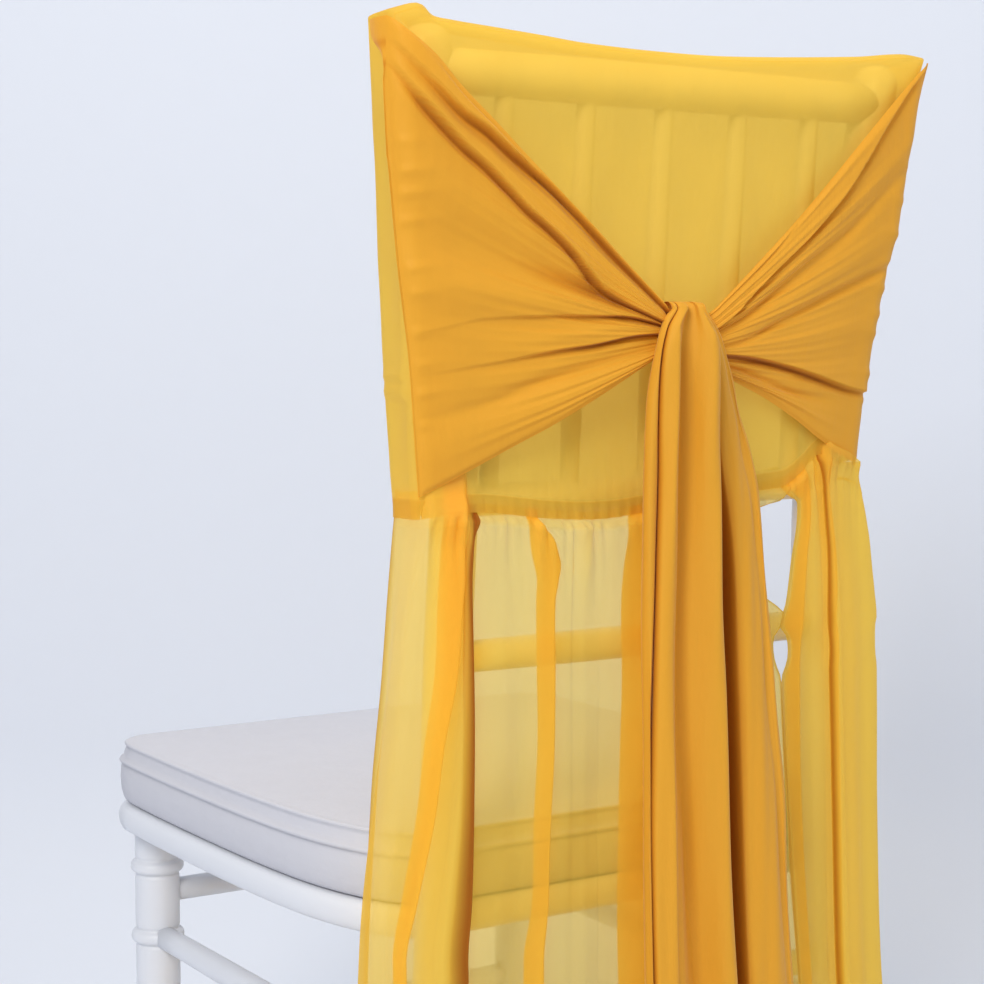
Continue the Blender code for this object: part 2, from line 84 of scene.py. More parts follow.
# Values of a column at t, on a smooth curve through the rows
def smoothLine(points, t, column=1):
    rows = sorted(points)
    at = np.array([row[0] for row in rows], float)
    value = np.array([row[column] for row in rows], float)
    t = np.clip(np.asarray(t, float), at[0], at[-1])
    k = np.clip(np.searchsorted(at, t, side="right") - 1, 0, len(at) - 2)
    slope = np.empty_like(value)
    slope[1:-1] = (value[2:] - value[:-2]) / (at[2:] - at[:-2])
    slope[0] = (value[1] - value[0]) / (at[1] - at[0])
    slope[-1] = (value[-1] - value[-2]) / (at[-1] - at[-2])
    step = at[k + 1] - at[k]
    s = (t - at[k]) / step
    rise = value[k + 1] - value[k]
    return (
        value[k]
        + rise * s * s * (3 - 2 * s)
        + slope[k] * step * s * (1 - s) ** 2
        - slope[k + 1] * step * s * s * (1 - s)
    )


def mix(a, b, share):
    return a + (b - a) * share


def soften(t):
    t = np.clip(t, 0.0, 1.0)
    return t * t * (3 - 2 * t)


def hump(distance, breadth):
    return np.exp(-((distance / breadth) ** 2))


def rearFace(z):
    above = np.maximum(0.0, (np.asarray(z, float) - bendHeight) / (topHeight - bendHeight))
    return backFace - backLean * above**1.5


# A smooth curve through control points, perSpan steps between each two
def through(points, perSpan):
    p = np.asarray(points, float)
    p = np.vstack([2 * p[0] - p[1], p, 2 * p[-1] - p[-2]])
    t = np.linspace(0, 1, perSpan, endpoint=False)[:, None]
    spans = []
    for k in range(1, len(p) - 2):
        a, b, c, d = p[k - 1 : k + 3]
        square = (2 * a - 5 * b + 4 * c - d) * t**2
        spans.append(0.5 * (2 * b + (c - a) * t + square + (3 * b - 3 * c + d - a) * t**3))
    return np.vstack(spans + [p[-2:-1]])


def gridFaces(rows, columns, first=0, closed=False):
    r, c = np.meshgrid(np.arange(rows - 1), np.arange(columns if closed else columns - 1), indexing="ij")
    after = (c + 1) % columns
    return first + np.stack(
        [r * columns + c, r * columns + after, (r + 1) * columns + after, (r + 1) * columns + c], axis=-1
    ).reshape(-1, 4)


def meshPiece(name, points, faces, look):
    mesh = bpy.data.meshes.new(name)
    mesh.from_pydata(np.asarray(points).tolist(), [], [list(map(int, f)) for f in faces])
    mesh.update()
    mesh.materials.append(look)
    mesh.shade_smooth()
    piece = bpy.data.objects.new(name, mesh)
    bpy.context.scene.collection.objects.link(piece)
    return piece


# Length along the rows (axis 1) or columns (axis 0) of a grid of points
def pathLength(grid, axis):
    length = np.zeros(grid.shape[:2])
    steps = np.cumsum(np.linalg.norm(np.diff(grid, axis=axis), axis=2), axis=axis)
    if axis:
        length[:, 1:] = steps
    else:
        length[1:] = steps
    return length


# Thin cloth from one or more grids of points, with its own flat measure as a map, a hem mask and a crease
# mask: marks up to 1 give the hem mask, which also carries painted shade on the sash, and marks above 1
# give the crease mask, painted shade in creases and grooves
def clothPiece(name, grids, look, hemAndShadeMarks):
    points, faces, flats, marks = [], [], [], []
    count = 0
    for grid, hem in zip(grids, hemAndShadeMarks):
        grid = np.asarray(grid, float)
        rows, columns = grid.shape[:2]
        across = pathLength(grid, 1)
        across -= across.mean(axis=1, keepdims=True)
        down = pathLength(grid, 0)
        flats.append(np.stack([across, down], axis=-1).reshape(-1, 2))
        points.append(grid.reshape(-1, 3))
        faces.append(gridFaces(rows, columns, count))
        marks.append(np.asarray(hem, float).reshape(-1))
        count += rows * columns
    piece = meshPiece(name, np.vstack(points), np.vstack(faces), look)
    mesh = piece.data
    flat = np.vstack(flats)
    corner = np.empty(len(mesh.loops), dtype=np.int32)
    mesh.loops.foreach_get("vertex_index", corner)
    layer = mesh.uv_layers.new(name="flatCloth")
    layer.data.foreach_set("uv", flat[corner].astype(np.float32).ravel())
    mark = np.concatenate(marks).astype(np.float32)
    # hem: hems and denser cloth, and on the sash painted shade in its folds; crease: painted shade in
    # creases and grooves
    for label, value in (("hem", np.clip(mark, 0, 1)), ("crease", np.clip(mark - 1, 0, 1))):
        mask = mesh.attributes.new(label, "FLOAT", "POINT")
        mask.data.foreach_set("value", value)
    return piece


def hang(piece, node):
    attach(piece, "root")
    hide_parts(node)
    return piece


# Node groups


def feed(tree, value, socket):
    if isinstance(value, (int, float, tuple)):
        socket.default_value = value
    else:
        tree.links.new(value, socket)


def addNode(tree, kind, inputs=None, **settings):
    node = tree.nodes.new(kind)
    for key, value in settings.items():
        setattr(node, key, value)
    for key, value in (inputs or {}).items():
        feed(tree, value, node.inputs[key])
    return node.outputs


def mathNode(tree, operation, *values, clamp=False):
    inputs = dict(enumerate(values))
    return addNode(tree, "ShaderNodeMath", inputs, operation=operation, use_clamp=clamp)[0]


def mixColour(tree, share, first, second):
    return addNode(tree, "ShaderNodeMix", {0: share, 6: first, 7: second}, data_type="RGBA")[2]


def mixShader(tree, share, first, second):
    return addNode(tree, "ShaderNodeMixShader", {0: share, 1: first, 2: second})[0]


def noiseNode(tree, place, scale, detail=2.0):
    return addNode(tree, "ShaderNodeTexNoise", {"Vector": place, "Scale": scale, "Detail": detail})


def bumpNode(tree, relief):
    return addNode(tree, "ShaderNodeBump", {"Distance": 1.0, "Strength": 1.0, "Height": relief})[0]


# inputs: label and value; outputs: labels. All are single values
def newGroup(name, inputs, outputs):
    group = bpy.data.node_groups.new(name, "ShaderNodeTree")
    for label, value in inputs.items():
        socket = group.interface.new_socket(label, in_out="INPUT", socket_type="NodeSocketFloat")
        socket.default_value = value
    for label in outputs:
        group.interface.new_socket(label, in_out="OUTPUT", socket_type="NodeSocketFloat")
    enter = group.nodes.new("NodeGroupInput")
    leave = group.nodes.new("NodeGroupOutput")
    return group, enter.outputs, leave.inputs


# Fine plain weave, from the cloth's own flat measure
def buildWeave():
    inputs = {"Pitch": 0.0008, "Unevenness": 0.5}
    group, enter, leave = newGroup("chiffonWeave", inputs, ("Height", "Thread"))
    place = addNode(group, "ShaderNodeUVMap", uv_map="flatCloth")[0]
    perMetre = mathNode(group, "DIVIDE", 1.0, enter["Pitch"])
    sized = addNode(group, "ShaderNodeVectorMath", {0: place, "Scale": perMetre}, operation="SCALE")[0]
    wander = noiseNode(group, sized, 0.35)["Color"]
    unevenness = {0: wander, "Scale": enter["Unevenness"]}
    shift = addNode(group, "ShaderNodeVectorMath", unevenness, operation="SCALE")[0]
    moved = addNode(group, "ShaderNodeVectorMath", {0: sized, 1: shift}, operation="ADD")[0]
    threads = []
    for axis in list(addNode(group, "ShaderNodeSeparateXYZ", {0: moved}))[:2]:
        wave = mathNode(group, "SINE", mathNode(group, "MULTIPLY", axis, pi))
        threads.append(mathNode(group, "ABSOLUTE", wave))
    feed(group, mathNode(group, "MAXIMUM", *threads), leave["Height"])
    feed(group, mathNode(group, "MULTIPLY", *threads), leave["Thread"])
    return group


# Soft crepe crinkle and slow cloudiness of thin cloth, from its own flat measure
def buildCrinkle():
    group, enter, leave = newGroup("crepeCrinkle", {"Size": 0.012, "Stretch": 3.0}, ("Height", "Cloud"))
    place = addNode(group, "ShaderNodeUVMap", uv_map="flatCloth")[0]
    parts = addNode(group, "ShaderNodeSeparateXYZ", {0: place})
    shorter = mathNode(group, "DIVIDE", parts[1], enter["Stretch"])
    joined = addNode(group, "ShaderNodeCombineXYZ", {0: parts[0], 1: shorter})[0]
    perMetre = mathNode(group, "DIVIDE", 1.0, enter["Size"])
    slow = mathNode(group, "MULTIPLY", perMetre, 0.22)
    feed(group, noiseNode(group, joined, perMetre, 4.0)["Fac"], leave["Height"])
    feed(group, noiseNode(group, joined, slow)["Fac"], leave["Cloud"])
    return group


# Faint unevenness of a painted or polished skin, in object space
def buildBrushedPaint():
    group, enter, leave = newGroup("paintFilm", {"Size": 0.02, "Amount": 0.5}, ("Height", "Smudge"))
    place = addNode(group, "ShaderNodeTexCoord")["Object"]
    perMetre = mathNode(group, "DIVIDE", 1.0, enter["Size"])
    film = noiseNode(group, place, perMetre, 5.0)["Fac"]
    slow = mathNode(group, "MULTIPLY", perMetre, 0.3)
    feed(group, mathNode(group, "MULTIPLY", film, enter["Amount"]), leave["Height"])
    feed(group, noiseNode(group, place, slow, 3.0)["Fac"], leave["Smudge"])
    return group


weaveGroup = buildWeave()
crinkleGroup = buildCrinkle()
paintGroup = buildBrushedPaint()


# Materials


def newMaterial(name):
    look = bpy.data.materials.new(name)
    look.use_nodes = True
    tree = look.node_tree
    tree.nodes.clear()
    return look, tree, tree.nodes.new("ShaderNodeOutputMaterial").inputs["Surface"]


# Thin gold cloth: lit threads, light that comes through, clear gaps between the threads, and painted
# shade from its hem and crease masks
def clothMaterial(name, spec):
    look, tree, surface = newMaterial(name)
    weaving = {"Pitch": spec["pitch"], "Unevenness": 0.6}
    weave = addNode(tree, "ShaderNodeGroup", weaving, node_tree=weaveGroup)
    crinkling = {"Size": spec["crinkleSize"], "Stretch": spec["crinkleStretch"]}
    crinkle = addNode(tree, "ShaderNodeGroup", crinkling, node_tree=crinkleGroup)
    hem = addNode(tree, "ShaderNodeAttribute", attribute_name="hem")["Fac"]
    crease = addNode(tree, "ShaderNodeAttribute", attribute_name="crease")["Fac"]
    # Deeper colour where the hem mask is high: doubled cloth and hems, and painted shade in the sash's
    # folds and the skirt's dark folds
    hemAndShadeMask = mathNode(tree, "MULTIPLY_ADD", hem, 2.0, -1.0, clamp=True)
    tone = spec["colour"]
    for mask, amount, colour in (
        (crinkle["Cloud"], spec["cloud"], "deep"),
        (weave["Thread"], 0.18, "lit"),
        (hemAndShadeMask, spec["hemAndShadeTint"], "deep"),
    ):
        tone = mixColour(tree, mathNode(tree, "MULTIPLY", mask, amount), tone, spec[colour])
    # Painted shade: the crease mask darkens creases and grooves towards the crease colour
    tone = mixColour(tree, crease, tone, spec["crease"])
    woven = mathNode(tree, "MULTIPLY", weave["Height"], spec["weaveHeight"])
    crepe = mathNode(tree, "MULTIPLY", crinkle["Height"], spec["crinkleHeight"])
    bump = bumpNode(tree, mathNode(tree, "ADD", woven, crepe))
    skin = {
        "Base Color": tone,
        "Normal": bump,
        "Roughness": spec["roughness"],
        "Specular IOR Level": 0.25,
        "Sheen Weight": spec["sheen"],
        "Sheen Roughness": 0.4,
        "Sheen Tint": (1.0, 0.86, 0.55, 1.0),
    }
    threads = addNode(tree, "ShaderNodeBsdfPrincipled", skin)[0]
    glow = addNode(tree, "ShaderNodeBsdfTranslucent", {"Color": tone, "Normal": bump})[0]
    body = mixShader(tree, spec["glow"], threads, glow)
    if spec["cover"] < 1.0:
        gaps = addNode(tree, "ShaderNodeBsdfTransparent", {"Color": spec["clear"]})[0]
        uneven = mathNode(tree, "MULTIPLY_ADD", crinkle["Cloud"], 0.10, spec["cover"] - 0.05)
        cover = mathNode(tree, "MULTIPLY_ADD", hem, spec["hemCover"], uneven, clamp=True)
        inShadow = addNode(tree, "ShaderNodeLightPath")["Is Shadow Ray"]
        thinner = mathNode(tree, "MULTIPLY_ADD", inShadow, spec["shadow"] - 1.0, 1.0)
        body = mixShader(tree, mathNode(tree, "MULTIPLY", cover, thinner), gaps, body)
    feed(tree, body, surface)
    return look


sheerLook = {
    "colour": (0.97, 0.69, 0.10, 1.0),
    # deep: tone of the cloud and of hems, also used for painted shade in folds; crease: colour of the
    # painted shade in creases and grooves
    "deep": (0.76, 0.47, 0.048, 1.0),
    "lit": (0.98, 0.76, 0.17, 1.0),
    "crease": (0.42, 0.15, 0.010, 1.0),
    "clear": (1.0, 0.84, 0.42, 1.0),
    "cover": 0.50,
    "hemCover": 0.36,
    "shadow": 0.15,  # how much of its cover counts in its shadow
    "hemAndShadeTint": 0.8,
    "cloud": 0.22,
    "glow": 0.5,
    "pitch": 0.0008,
    "weaveHeight": 0.00003,
    "crinkleSize": 0.012,
    "crinkleStretch": 4.0,
    "crinkleHeight": 0.0006,
    "roughness": 0.62,
    "sheen": 0.25,
}
sashLook = dict(
    sheerLook,
    colour=(0.80, 0.39, 0.028, 1.0),
    # deep and crease: also the colours of the painted shade in the sash's folds and grooves
    deep=(0.68, 0.27, 0.012, 1.0),
    lit=(0.86, 0.47, 0.050, 1.0),
    crease=(0.36, 0.11, 0.002, 1.0),
    cover=1.0,
    glow=0.22,
    crinkleStretch=7.0,
    crinkleHeight=0.0008,
)
sheer = clothMaterial("sheerGoldChiffon", sheerLook)
sashCloth = clothMaterial("goldChiffonSash", sashLook)


def paintMaterial(name, colour, shade, roughness, grain, height):
    look, tree, surface = newMaterial(name)
    film = addNode(tree, "ShaderNodeGroup", {"Size": grain, "Amount": 1.0}, node_tree=paintGroup)
    skin = {
        "Base Color": mixColour(tree, mathNode(tree, "MULTIPLY", film["Smudge"], 0.5), colour, shade),
        "Roughness": mathNode(tree, "MULTIPLY_ADD", film["Smudge"], 0.2, roughness - 0.1),
        "Normal": bumpNode(tree, mathNode(tree, "MULTIPLY", film["Height"], height)),
    }
    feed(tree, addNode(tree, "ShaderNodeBsdfPrincipled", skin)[0], surface)
    return look


# Colour, shade, roughness, size of the grain and its height
whiteLook = ((0.72, 0.73, 0.76, 1), (0.67, 0.68, 0.72, 1), 0.40, 0.02, 0.0002)
seatLook = ((0.58, 0.575, 0.61, 1), (0.54, 0.535, 0.575, 1), 0.80, 0.006, 0.0004)
whitePaint = paintMaterial("whiteLacquer", *whiteLook)
seatCloth = paintMaterial("whiteSeatCloth", *seatLook)


# Floor, wall and light

stageSizes = {
    "wallDistance": 2.20,  # from the camera, along its view
    "wallHeight": 3.2,
    "halfWidth": 3.6,
    "sweep": 0.30,
    "lift": 0.001,  # of the wall's foot over the floor
    "floorHalf": 7.0,
}


# Plain pale wall that shows from its front alone, so that the back of the room stays open
def wallMaterial():
    look, tree, surface = newMaterial("paleWall")
    plaster = addNode(tree, "ShaderNodeBsdfDiffuse", {"Color": (0.72, 0.745, 0.80, 1.0)})[0]
    nothing = addNode(tree, "ShaderNodeBsdfTransparent")[0]
    facing = addNode(tree, "ShaderNodeNewGeometry")["Backfacing"]
    feed(tree, mixShader(tree, facing, plaster, nothing), surface)
    return look


def floorMaterial():
    look, tree, surface = newMaterial("paleFloor")
    feed(tree, addNode(tree, "ShaderNodeBsdfDiffuse", {"Color": (0.80, 0.83, 0.90, 1.0)})[0], surface)
    return look


def buildStage():
    turn = radians(cameraView["turn"])
    ahead = Vector((-sin(turn), cos(turn), 0))
    right = Vector((cos(turn), sin(turn), 0))
    foot = Vector((*cameraView["place"][:2], 0)) + ahead * stageSizes["wallDistance"]
    sweep, lift = stageSizes["sweep"], stageSizes["lift"]
    profile = [(-sweep, lift)]
    for k in range(1, 13):
        a = radians(90) * k / 12
        profile.append((-sweep + sweep * sin(a), lift + sweep * (1 - cos(a))))
    profile.append((0.0, stageSizes["wallHeight"]))
    points = []
    for across in (-stageSizes["halfWidth"], stageSizes["halfWidth"]):
        points += [foot + ahead * out + right * across + Vector((0, 0, z)) for out, z in profile]
    count = len(profile)
    faces = [(k, k + count, k + count + 1, k + 1) for k in range(count - 1)]
    wall = meshPiece("wall", [tuple(p) for p in points], faces, wallMaterial())
    half = stageSizes["floorHalf"]
    corners = [(-half, -half, 0), (half, -half, 0), (half, half, 0), (-half, half, 0)]
    floor = meshPiece("floor", corners, [(0, 1, 2, 3)], floorMaterial())


softLights = (
    {"name": "keyLight", "place": (-1.6, -1.3, 1.8), "aim": (0.0, -0.1, 0.6), "size": 0.9, "power": 34},
    {"name": "fillLight", "place": (1.9, -2.0, 1.5), "aim": (0.0, -0.1, 0.6), "size": 2.2, "power": 13},
    {"name": "topLight", "place": (-0.1, -0.3, 2.7), "aim": (0.0, 0.0, 0.5), "size": 1.8, "power": 17},
)


def buildLights():
    for light in softLights:
        lamp = bpy.data.lights.new(light["name"], "AREA")
        lamp.shape = "DISK"
        lamp.size = light["size"]
        lamp.energy = light["power"]
        lamp.color = (1.0, 0.985, 0.96)
        thing = bpy.data.objects.new(light["name"], lamp)
        thing.location = light["place"]
        way = Vector(light["aim"]) - Vector(light["place"])
        thing.rotation_euler = way.to_track_quat("-Z", "Y").to_euler()
        bpy.context.scene.collection.objects.link(thing)
    sky = bpy.data.worlds.new("softRoom")
    sky.use_nodes = True
    air = sky.node_tree.nodes["Background"]
    air.inputs["Color"].default_value = (0.86, 0.91, 1.0, 1.0)
    air.inputs["Strength"].default_value = 0.50
    bpy.context.scene.world = sky


buildStage()
buildLights()
bpy.context.scene.view_settings.view_transform = "Standard"
print("stage and lights built")


# The chair

chair = {
    "postLine": (
        (0.0, 0.166), (0.20, 0.158), (0.39, 0.148), (0.54, 0.142), (0.66, 0.1395), (0.80, 0.156),
        (0.92, 0.171),
    ),
    "postTop": 0.904,
    "postShape": ((0.0, 0.0105), (0.02, 0.012), (0.09, 0.014), (0.904, 0.014)),
    "postDome": ((0.908, 0.0132), (0.9115, 0.0110), (0.914, 0.0070), (0.915, 0.0030)),
    "postRings": (0.104, 0.246),
    "postKick": 0.016,  # how far the posts' feet stand back
    "legX": 0.160,
    "legY": 0.240,
    "legShape": ((0.0, 0.0115), (0.025, 0.0135), (0.09, 0.0155), (0.28, 0.0165), (0.378, 0.0165)),
    "legRings": (0.104, 0.293, 0.346),
    "ringReach": 0.0032,
    "ringHalf": 0.0045,
    "grooveDepth": 0.0009,
    "grooveHalf": 0.0012,
    "crestHeight": 0.8905,
    "crestRadius": 0.0135,
    "railHeights": (0.645, 0.552),
    "railRadius": 0.010,
    "spindles": 5,
    "spindleStep": 0.0575,
    "spindleRadius": 0.0065,
    "spindleStops": (0.70, 0.83),  # heights with closer points
    "stretcherRadius": 0.009,
    "sideHeights": (0.293, 0.175),
    "crossHeights": (0.325, 0.210),
}
seat = {
    "top": 0.398,
    "thick": 0.020,
    "gap": 0.0004,  # from the legs to the board
    "padGap": 0.0006,
    "padTop": 0.444,
    "seamDrop": 0.014,  # from the pad's top to its upper seam
    "front": 0.257,
    "cornerRadius": 0.030,
    "middle": 0.23,  # in front of the back's rear face
    # The pad's side: inset and height over its foot, its upper seam with a cord, and its top
    "padFoot": ((0.012, 0), (0.006, 0.001), (0.0035, 0.004), (0.002, 0.01), (0.0015, 0.018)),
    "padSeam": (
        (0.002, -0.0045), (0.0032, -0.0022), (0.0014, -0.0014), (0.0008, 0), (0.0014, 0.0014),
        (0.0034, 0.0022), (0.004, 0.005),
    ),
    "padCrown": (
        (0.0052, -0.0055), (0.0058, -0.0038), (0.0046, -0.0028), (0.0044, -0.0015), (0.0056, -0.0006),
        (0.0078, -0.0012), (0.012, -0.001), (0.02, -0.0002), (0.028, 0),
    ),
    # Half breadth by the distance in front of the back's rear face
    "side": (
        (0.036, 0.146), (0.055, 0.163), (0.08, 0.175), (0.12, 0.185), (0.18, 0.191), (0.26, 0.194),
        (0.36, 0.195), (0.425, 0.193),
    ),
}


# Faces of a tube of closed rings, and fans to the two points that follow it
def tubeFaces(rows, columns):
    faces = gridFaces(rows, columns, closed=True).tolist()
    low = rows * columns
    for k in range(columns):
        after = (k + 1) % columns
        faces += [(low, after, k), (low + 1, low - columns + k, low - columns + after)]
    return faces


# A turned member through (point, radius) rows, with closed ends
def roundMember(name, line, node, sides=32):
    places = np.array([row[0] for row in line], float)
    radii = np.array([row[1] for row in line], float)
    way = np.gradient(places, axis=0)
    way /= np.linalg.norm(way, axis=1)[:, None]
    side = np.cross(way, (0.13, 0.98, 0.15))
    side /= np.linalg.norm(side, axis=1)[:, None]
    other = np.cross(way, side)
    turn = np.linspace(0, 2 * pi, sides, endpoint=False)[None, :, None]
    ring = side[:, None] * np.cos(turn) + other[:, None] * np.sin(turn)
    points = (places[:, None] + radii[:, None, None] * ring).reshape(-1, 3)
    points = np.vstack([points, places[0], places[-1]])
    return hang(meshPiece(name, points, tubeFaces(len(places), sides), whitePaint), node)


def heightsWith(rings, low, high):
    stops = [np.linspace(low, high, 40)]
    for ring in rings:
        stops.append(np.linspace(ring - 0.011, ring + 0.011, 29))
    return np.unique(np.round(np.clip(np.concatenate(stops), low, high), 5))


# Heights and radii of a shaft with turned rings: each a bead between two fine grooves
def ringedShaft(shape, rings, high):
    z = heightsWith(rings, 0.0, high)
    radius = smoothLine(shape, z)
    half, breadth = chair["ringHalf"], chair["grooveHalf"]
    for ring in rings:
        bead = chair["ringReach"] * np.sqrt(np.clip(1 - ((z - ring) / half) ** 2, 0, 1))
        pair = hump(z - ring - half * 1.35, breadth) + hump(z - ring + half * 1.35, breadth)
        radius = radius + bead - chair["grooveDepth"] * pair
    return z, radius


def postPlace(side, z):
    z = np.asarray(z, float)
    at = np.maximum(z, 0.02)
    kick = chair["postKick"] * np.maximum(0.0, 1 - at / seat["top"]) ** 2
    x = side * smoothLine(chair["postLine"], at)
    return np.stack([x, rearFace(at) + hoodDepth / 2 - kick, z], axis=-1)


def barBetween(name, start, end, radius, node):
    stops = np.linspace(0, 1, 9)
    line = [(mix(np.array(start), np.array(end), s), radius * (0.94 + 0.07 * sin(pi * s))) for s in stops]
    roundMember(name, line, node, 24)


def buildChair():
    sides = (("left", -1), ("right", 1))
    thin = chair["stretcherRadius"]
    for label, side in sides:
        z, radius = ringedShaft(chair["postShape"], chair["postRings"], chair["postTop"])
        dome = np.array(chair["postDome"])
        z = np.concatenate([z, dome[:, 0]])
        radius = np.concatenate([radius, dome[:, 1]])
        roundMember("backPost_" + label, list(zip(postPlace(side, z), radius)), "back_post_" + label)
        legTop = seat["top"] - seat["thick"] - seat["gap"]
        z, radius = ringedShaft(chair["legShape"], chair["legRings"], legTop)
        line = [((side * chair["legX"], chair["legY"], h), r) for h, r in zip(z, radius)]
        roundMember("frontLeg_" + label, line, "front_leg_" + label)
        for k, height in enumerate(chair["sideHeights"]):
            front = (side * chair["legX"], chair["legY"], height)
            name = f"{label}_{k + 1}"
            barBetween("sideBar_" + name, front, postPlace(side, height), thin, "side_stretcher_" + name)
    for k, height in enumerate(chair["crossHeights"]):
        ends = [(side * chair["legX"], chair["legY"], height) for _, side in sides]
        barBetween(f"frontBar_{k + 1}", *ends, thin, f"front_stretcher_{k + 1}")
        ends = [postPlace(side, height) for _, side in sides]
        barBetween(f"rearBar_{k + 1}", *ends, thin, f"rear_stretcher_{k + 1}")
    upper, lower = chair["railHeights"]
    for name, height, radius, node in (
        ("crestRail", chair["crestHeight"], chair["crestRadius"], "crest_rail"),
        ("backRail_upper", upper, chair["railRadius"], "back_rail_upper"),
        ("backRail_lower", lower, chair["railRadius"], "back_rail_lower"),
    ):
        barBetween(name, postPlace(-1, height), postPlace(1, height), radius, node)
    z = heightsWith(chair["spindleStops"], upper, chair["crestHeight"])
    radius = chair["spindleRadius"] * (0.86 + 0.18 * np.sin(pi * (z - z[0]) / (z[-1] - z[0])))
    for k in range(chair["spindles"]):
        x = (k - (chair["spindles"] - 1) / 2) * chair["spindleStep"]
        line = [((x, rearFace(h) + hoodDepth / 2, h), r) for h, r in zip(z, radius)]
        roundMember(f"spindle_{k + 1}", line, f"spindle_{k + 1}", 20)


# The seat's outline, inset by this much: along one side, round a corner, across the front and back
def seatOutline(inset):
    frontX = float(smoothLine(seat["side"], 0.425)) - inset
    frontY = seat["front"] - inset
    turn = seat["cornerRadius"] - inset * 0.6
    forward = np.linspace(seat["side"][0][0] + inset, frontY - turn - backFace, 22)
    half = [(float(smoothLine(seat["side"], f)) - inset, backFace + f) for f in forward]
    for a in np.linspace(radians(4), radians(90), 9):
        half.append((frontX - turn + turn * cos(a), frontY - turn + turn * sin(a)))
    across = [(x, frontY) for x in np.linspace(half[-1][0], -half[-1][0], 14)[1:-1]]
    behind = [(x, half[0][1]) for x in np.linspace(-half[0][0], half[0][0], 12)[1:-1]]
    return np.array(half + across + [(-x, y) for x, y in reversed(half)] + behind)


# A flat upholstered or solid piece from (inset, height) rows, closed over the top and bottom
def stackOutlines(name, profile, look, middleLift=0.0, rings=10):
    loops = [np.insert(seatOutline(inset), 2, z, axis=1) for inset, z in profile]
    base, top = loops[0], loops[-1]
    centre = np.array([0.0, backFace + seat["middle"]])
    lids = []
    for k in range(1, rings):
        share = k / rings
        xy = mix(top[:, :2], centre, share)
        lids.append(np.column_stack([xy, top[:, 2] + middleLift * (1 - (1 - share) ** 2.2)]))
    soles = [np.column_stack([mix(base[:, :2], centre, k / 4), base[:, 2]]) for k in (3, 2, 1)]
    loops = soles + loops + lids
    ends = [[*centre, base[0, 2]], [*centre, top[0, 2] + middleLift]]
    return meshPiece(name, np.vstack(loops + [ends]), tubeFaces(len(loops), len(base)), look)


def buildSeat():
    top, half = seat["top"], seat["thick"] / 2
    profile = [(0.03, top - seat["thick"])]
    for a in np.linspace(-90, 90, 13):
        profile.append((0.008 * (1 - cos(radians(a)) ** 0.7), top - half + half * sin(radians(a))))
    profile.append((0.03, top))
    hang(stackOutlines("seatFrame", profile, whitePaint), "seat_board")
    low, high = top + seat["padGap"], seat["padTop"]
    seam = high - seat["seamDrop"]
    profile = []
    for base, rows in ((low, seat["padFoot"]), (seam, seat["padSeam"]), (high, seat["padCrown"])):
        profile += [(inset, base + up) for inset, up in rows]
    pad = stackOutlines("seatCushion", profile, seatCloth, 0.002)
    hang(pad, "seat_pad")


buildChair()
buildSeat()
print("chair built")


# The hood: back, front and the strip between them

hood = {
    "left": ((0.64, 0.173), (0.7, 0.18), (0.77, 0.187), (0.84, 0.193), (0.92, 0.201)),
    "right": (
        (0.64, 0.16), (0.67, 0.1595), (0.74, 0.1675), (0.77, 0.173), (0.81, 0.182), (0.9, 0.1935),
        (0.92, 0.198),
    ),
    "top": (
        (-0.201, 0.918), (-0.181, 0.924), (-0.173, 0.9185), (-0.16, 0.9168), (-0.13, 0.915),
        (-0.097, 0.913), (-0.068, 0.911), (-0.015, 0.91), (0.04, 0.911), (0.14, 0.918), (0.18, 0.9225),
        (0.198, 0.9215),
    ),
    "hem": (
        (-0.18, 0.636), (-0.135, 0.6395), (-0.083, 0.6335), (-0.045, 0.6315), (-0.01, 0.6345),
        (0.05, 0.642), (0.085, 0.6445), (0.1, 0.647), (0.112, 0.655), (0.122, 0.664), (0.135, 0.6655),
        (0.16, 0.662), (0.17, 0.66),
    ),
    "frontHem": ((-0.18, 0.636), (-0.1, 0.635), (0.0, 0.635), (0.1, 0.642), (0.17, 0.655)),
    "hemWidth": 0.0105,
    "hemStep": 0.0006,
    "slack": 0.0015,
    "pucker": 0.0011,
    "panelInset": 0.00293,
    # Dents in the left end of the strip: height, depth, breadth
    "creases": (
        (0.718, 0.0016, 0.003), (0.7145, -0.0014, 0.0016), (0.709, 0.0018, 0.003),
        (0.703, -0.0014, 0.002),
    ),
    # Soft waves: length, direction in degrees, height, phase
    "waves": (
        (0.083, 8, 0.0005, 0.4), (0.047, -14, 0.0003, 1.9), (0.061, 74, 0.0003, 2.6),
        (0.029, 20, 0.00014, 0.9),
    ),
    "stripWaves": ((0.071, 0, 0.0009, 0.5), (0.033, 30, 0.0004, 2.1)),
}


def hemLine(x, depth):
    share = np.clip(depth / hoodDepth, 0, 1)
    return mix(smoothLine(hood["hem"], x), smoothLine(hood["frontHem"], x), share)


def hoodPoint(u, v, inset, depth):
    nominal = mix(hemHeight, topHeight, v)
    x = mix(-smoothLine(hood["left"], nominal) + inset, smoothLine(hood["right"], nominal) - inset, u)
    low = hemLine(x, depth)
    z = mix(low, smoothLine(hood["top"], x) - inset, v)
    return np.stack(np.broadcast_arrays(x, rearFace(z) + depth, z), axis=-1)


def turnedDepth(distance, radius):
    rest = np.clip(radius - distance, 0.0, radius)
    return radius - np.sqrt(radius**2 - rest**2)


# Sum of slanted soft waves: (length, direction in degrees, height, phase)
def wrinkles(x, z, rows):
    total = 0.0
    for length, direction, height, phase in rows:
        along = x * cos(radians(direction)) + z * sin(radians(direction))
        total = total + height * np.sin(2 * pi * along / length + phase)
    return total


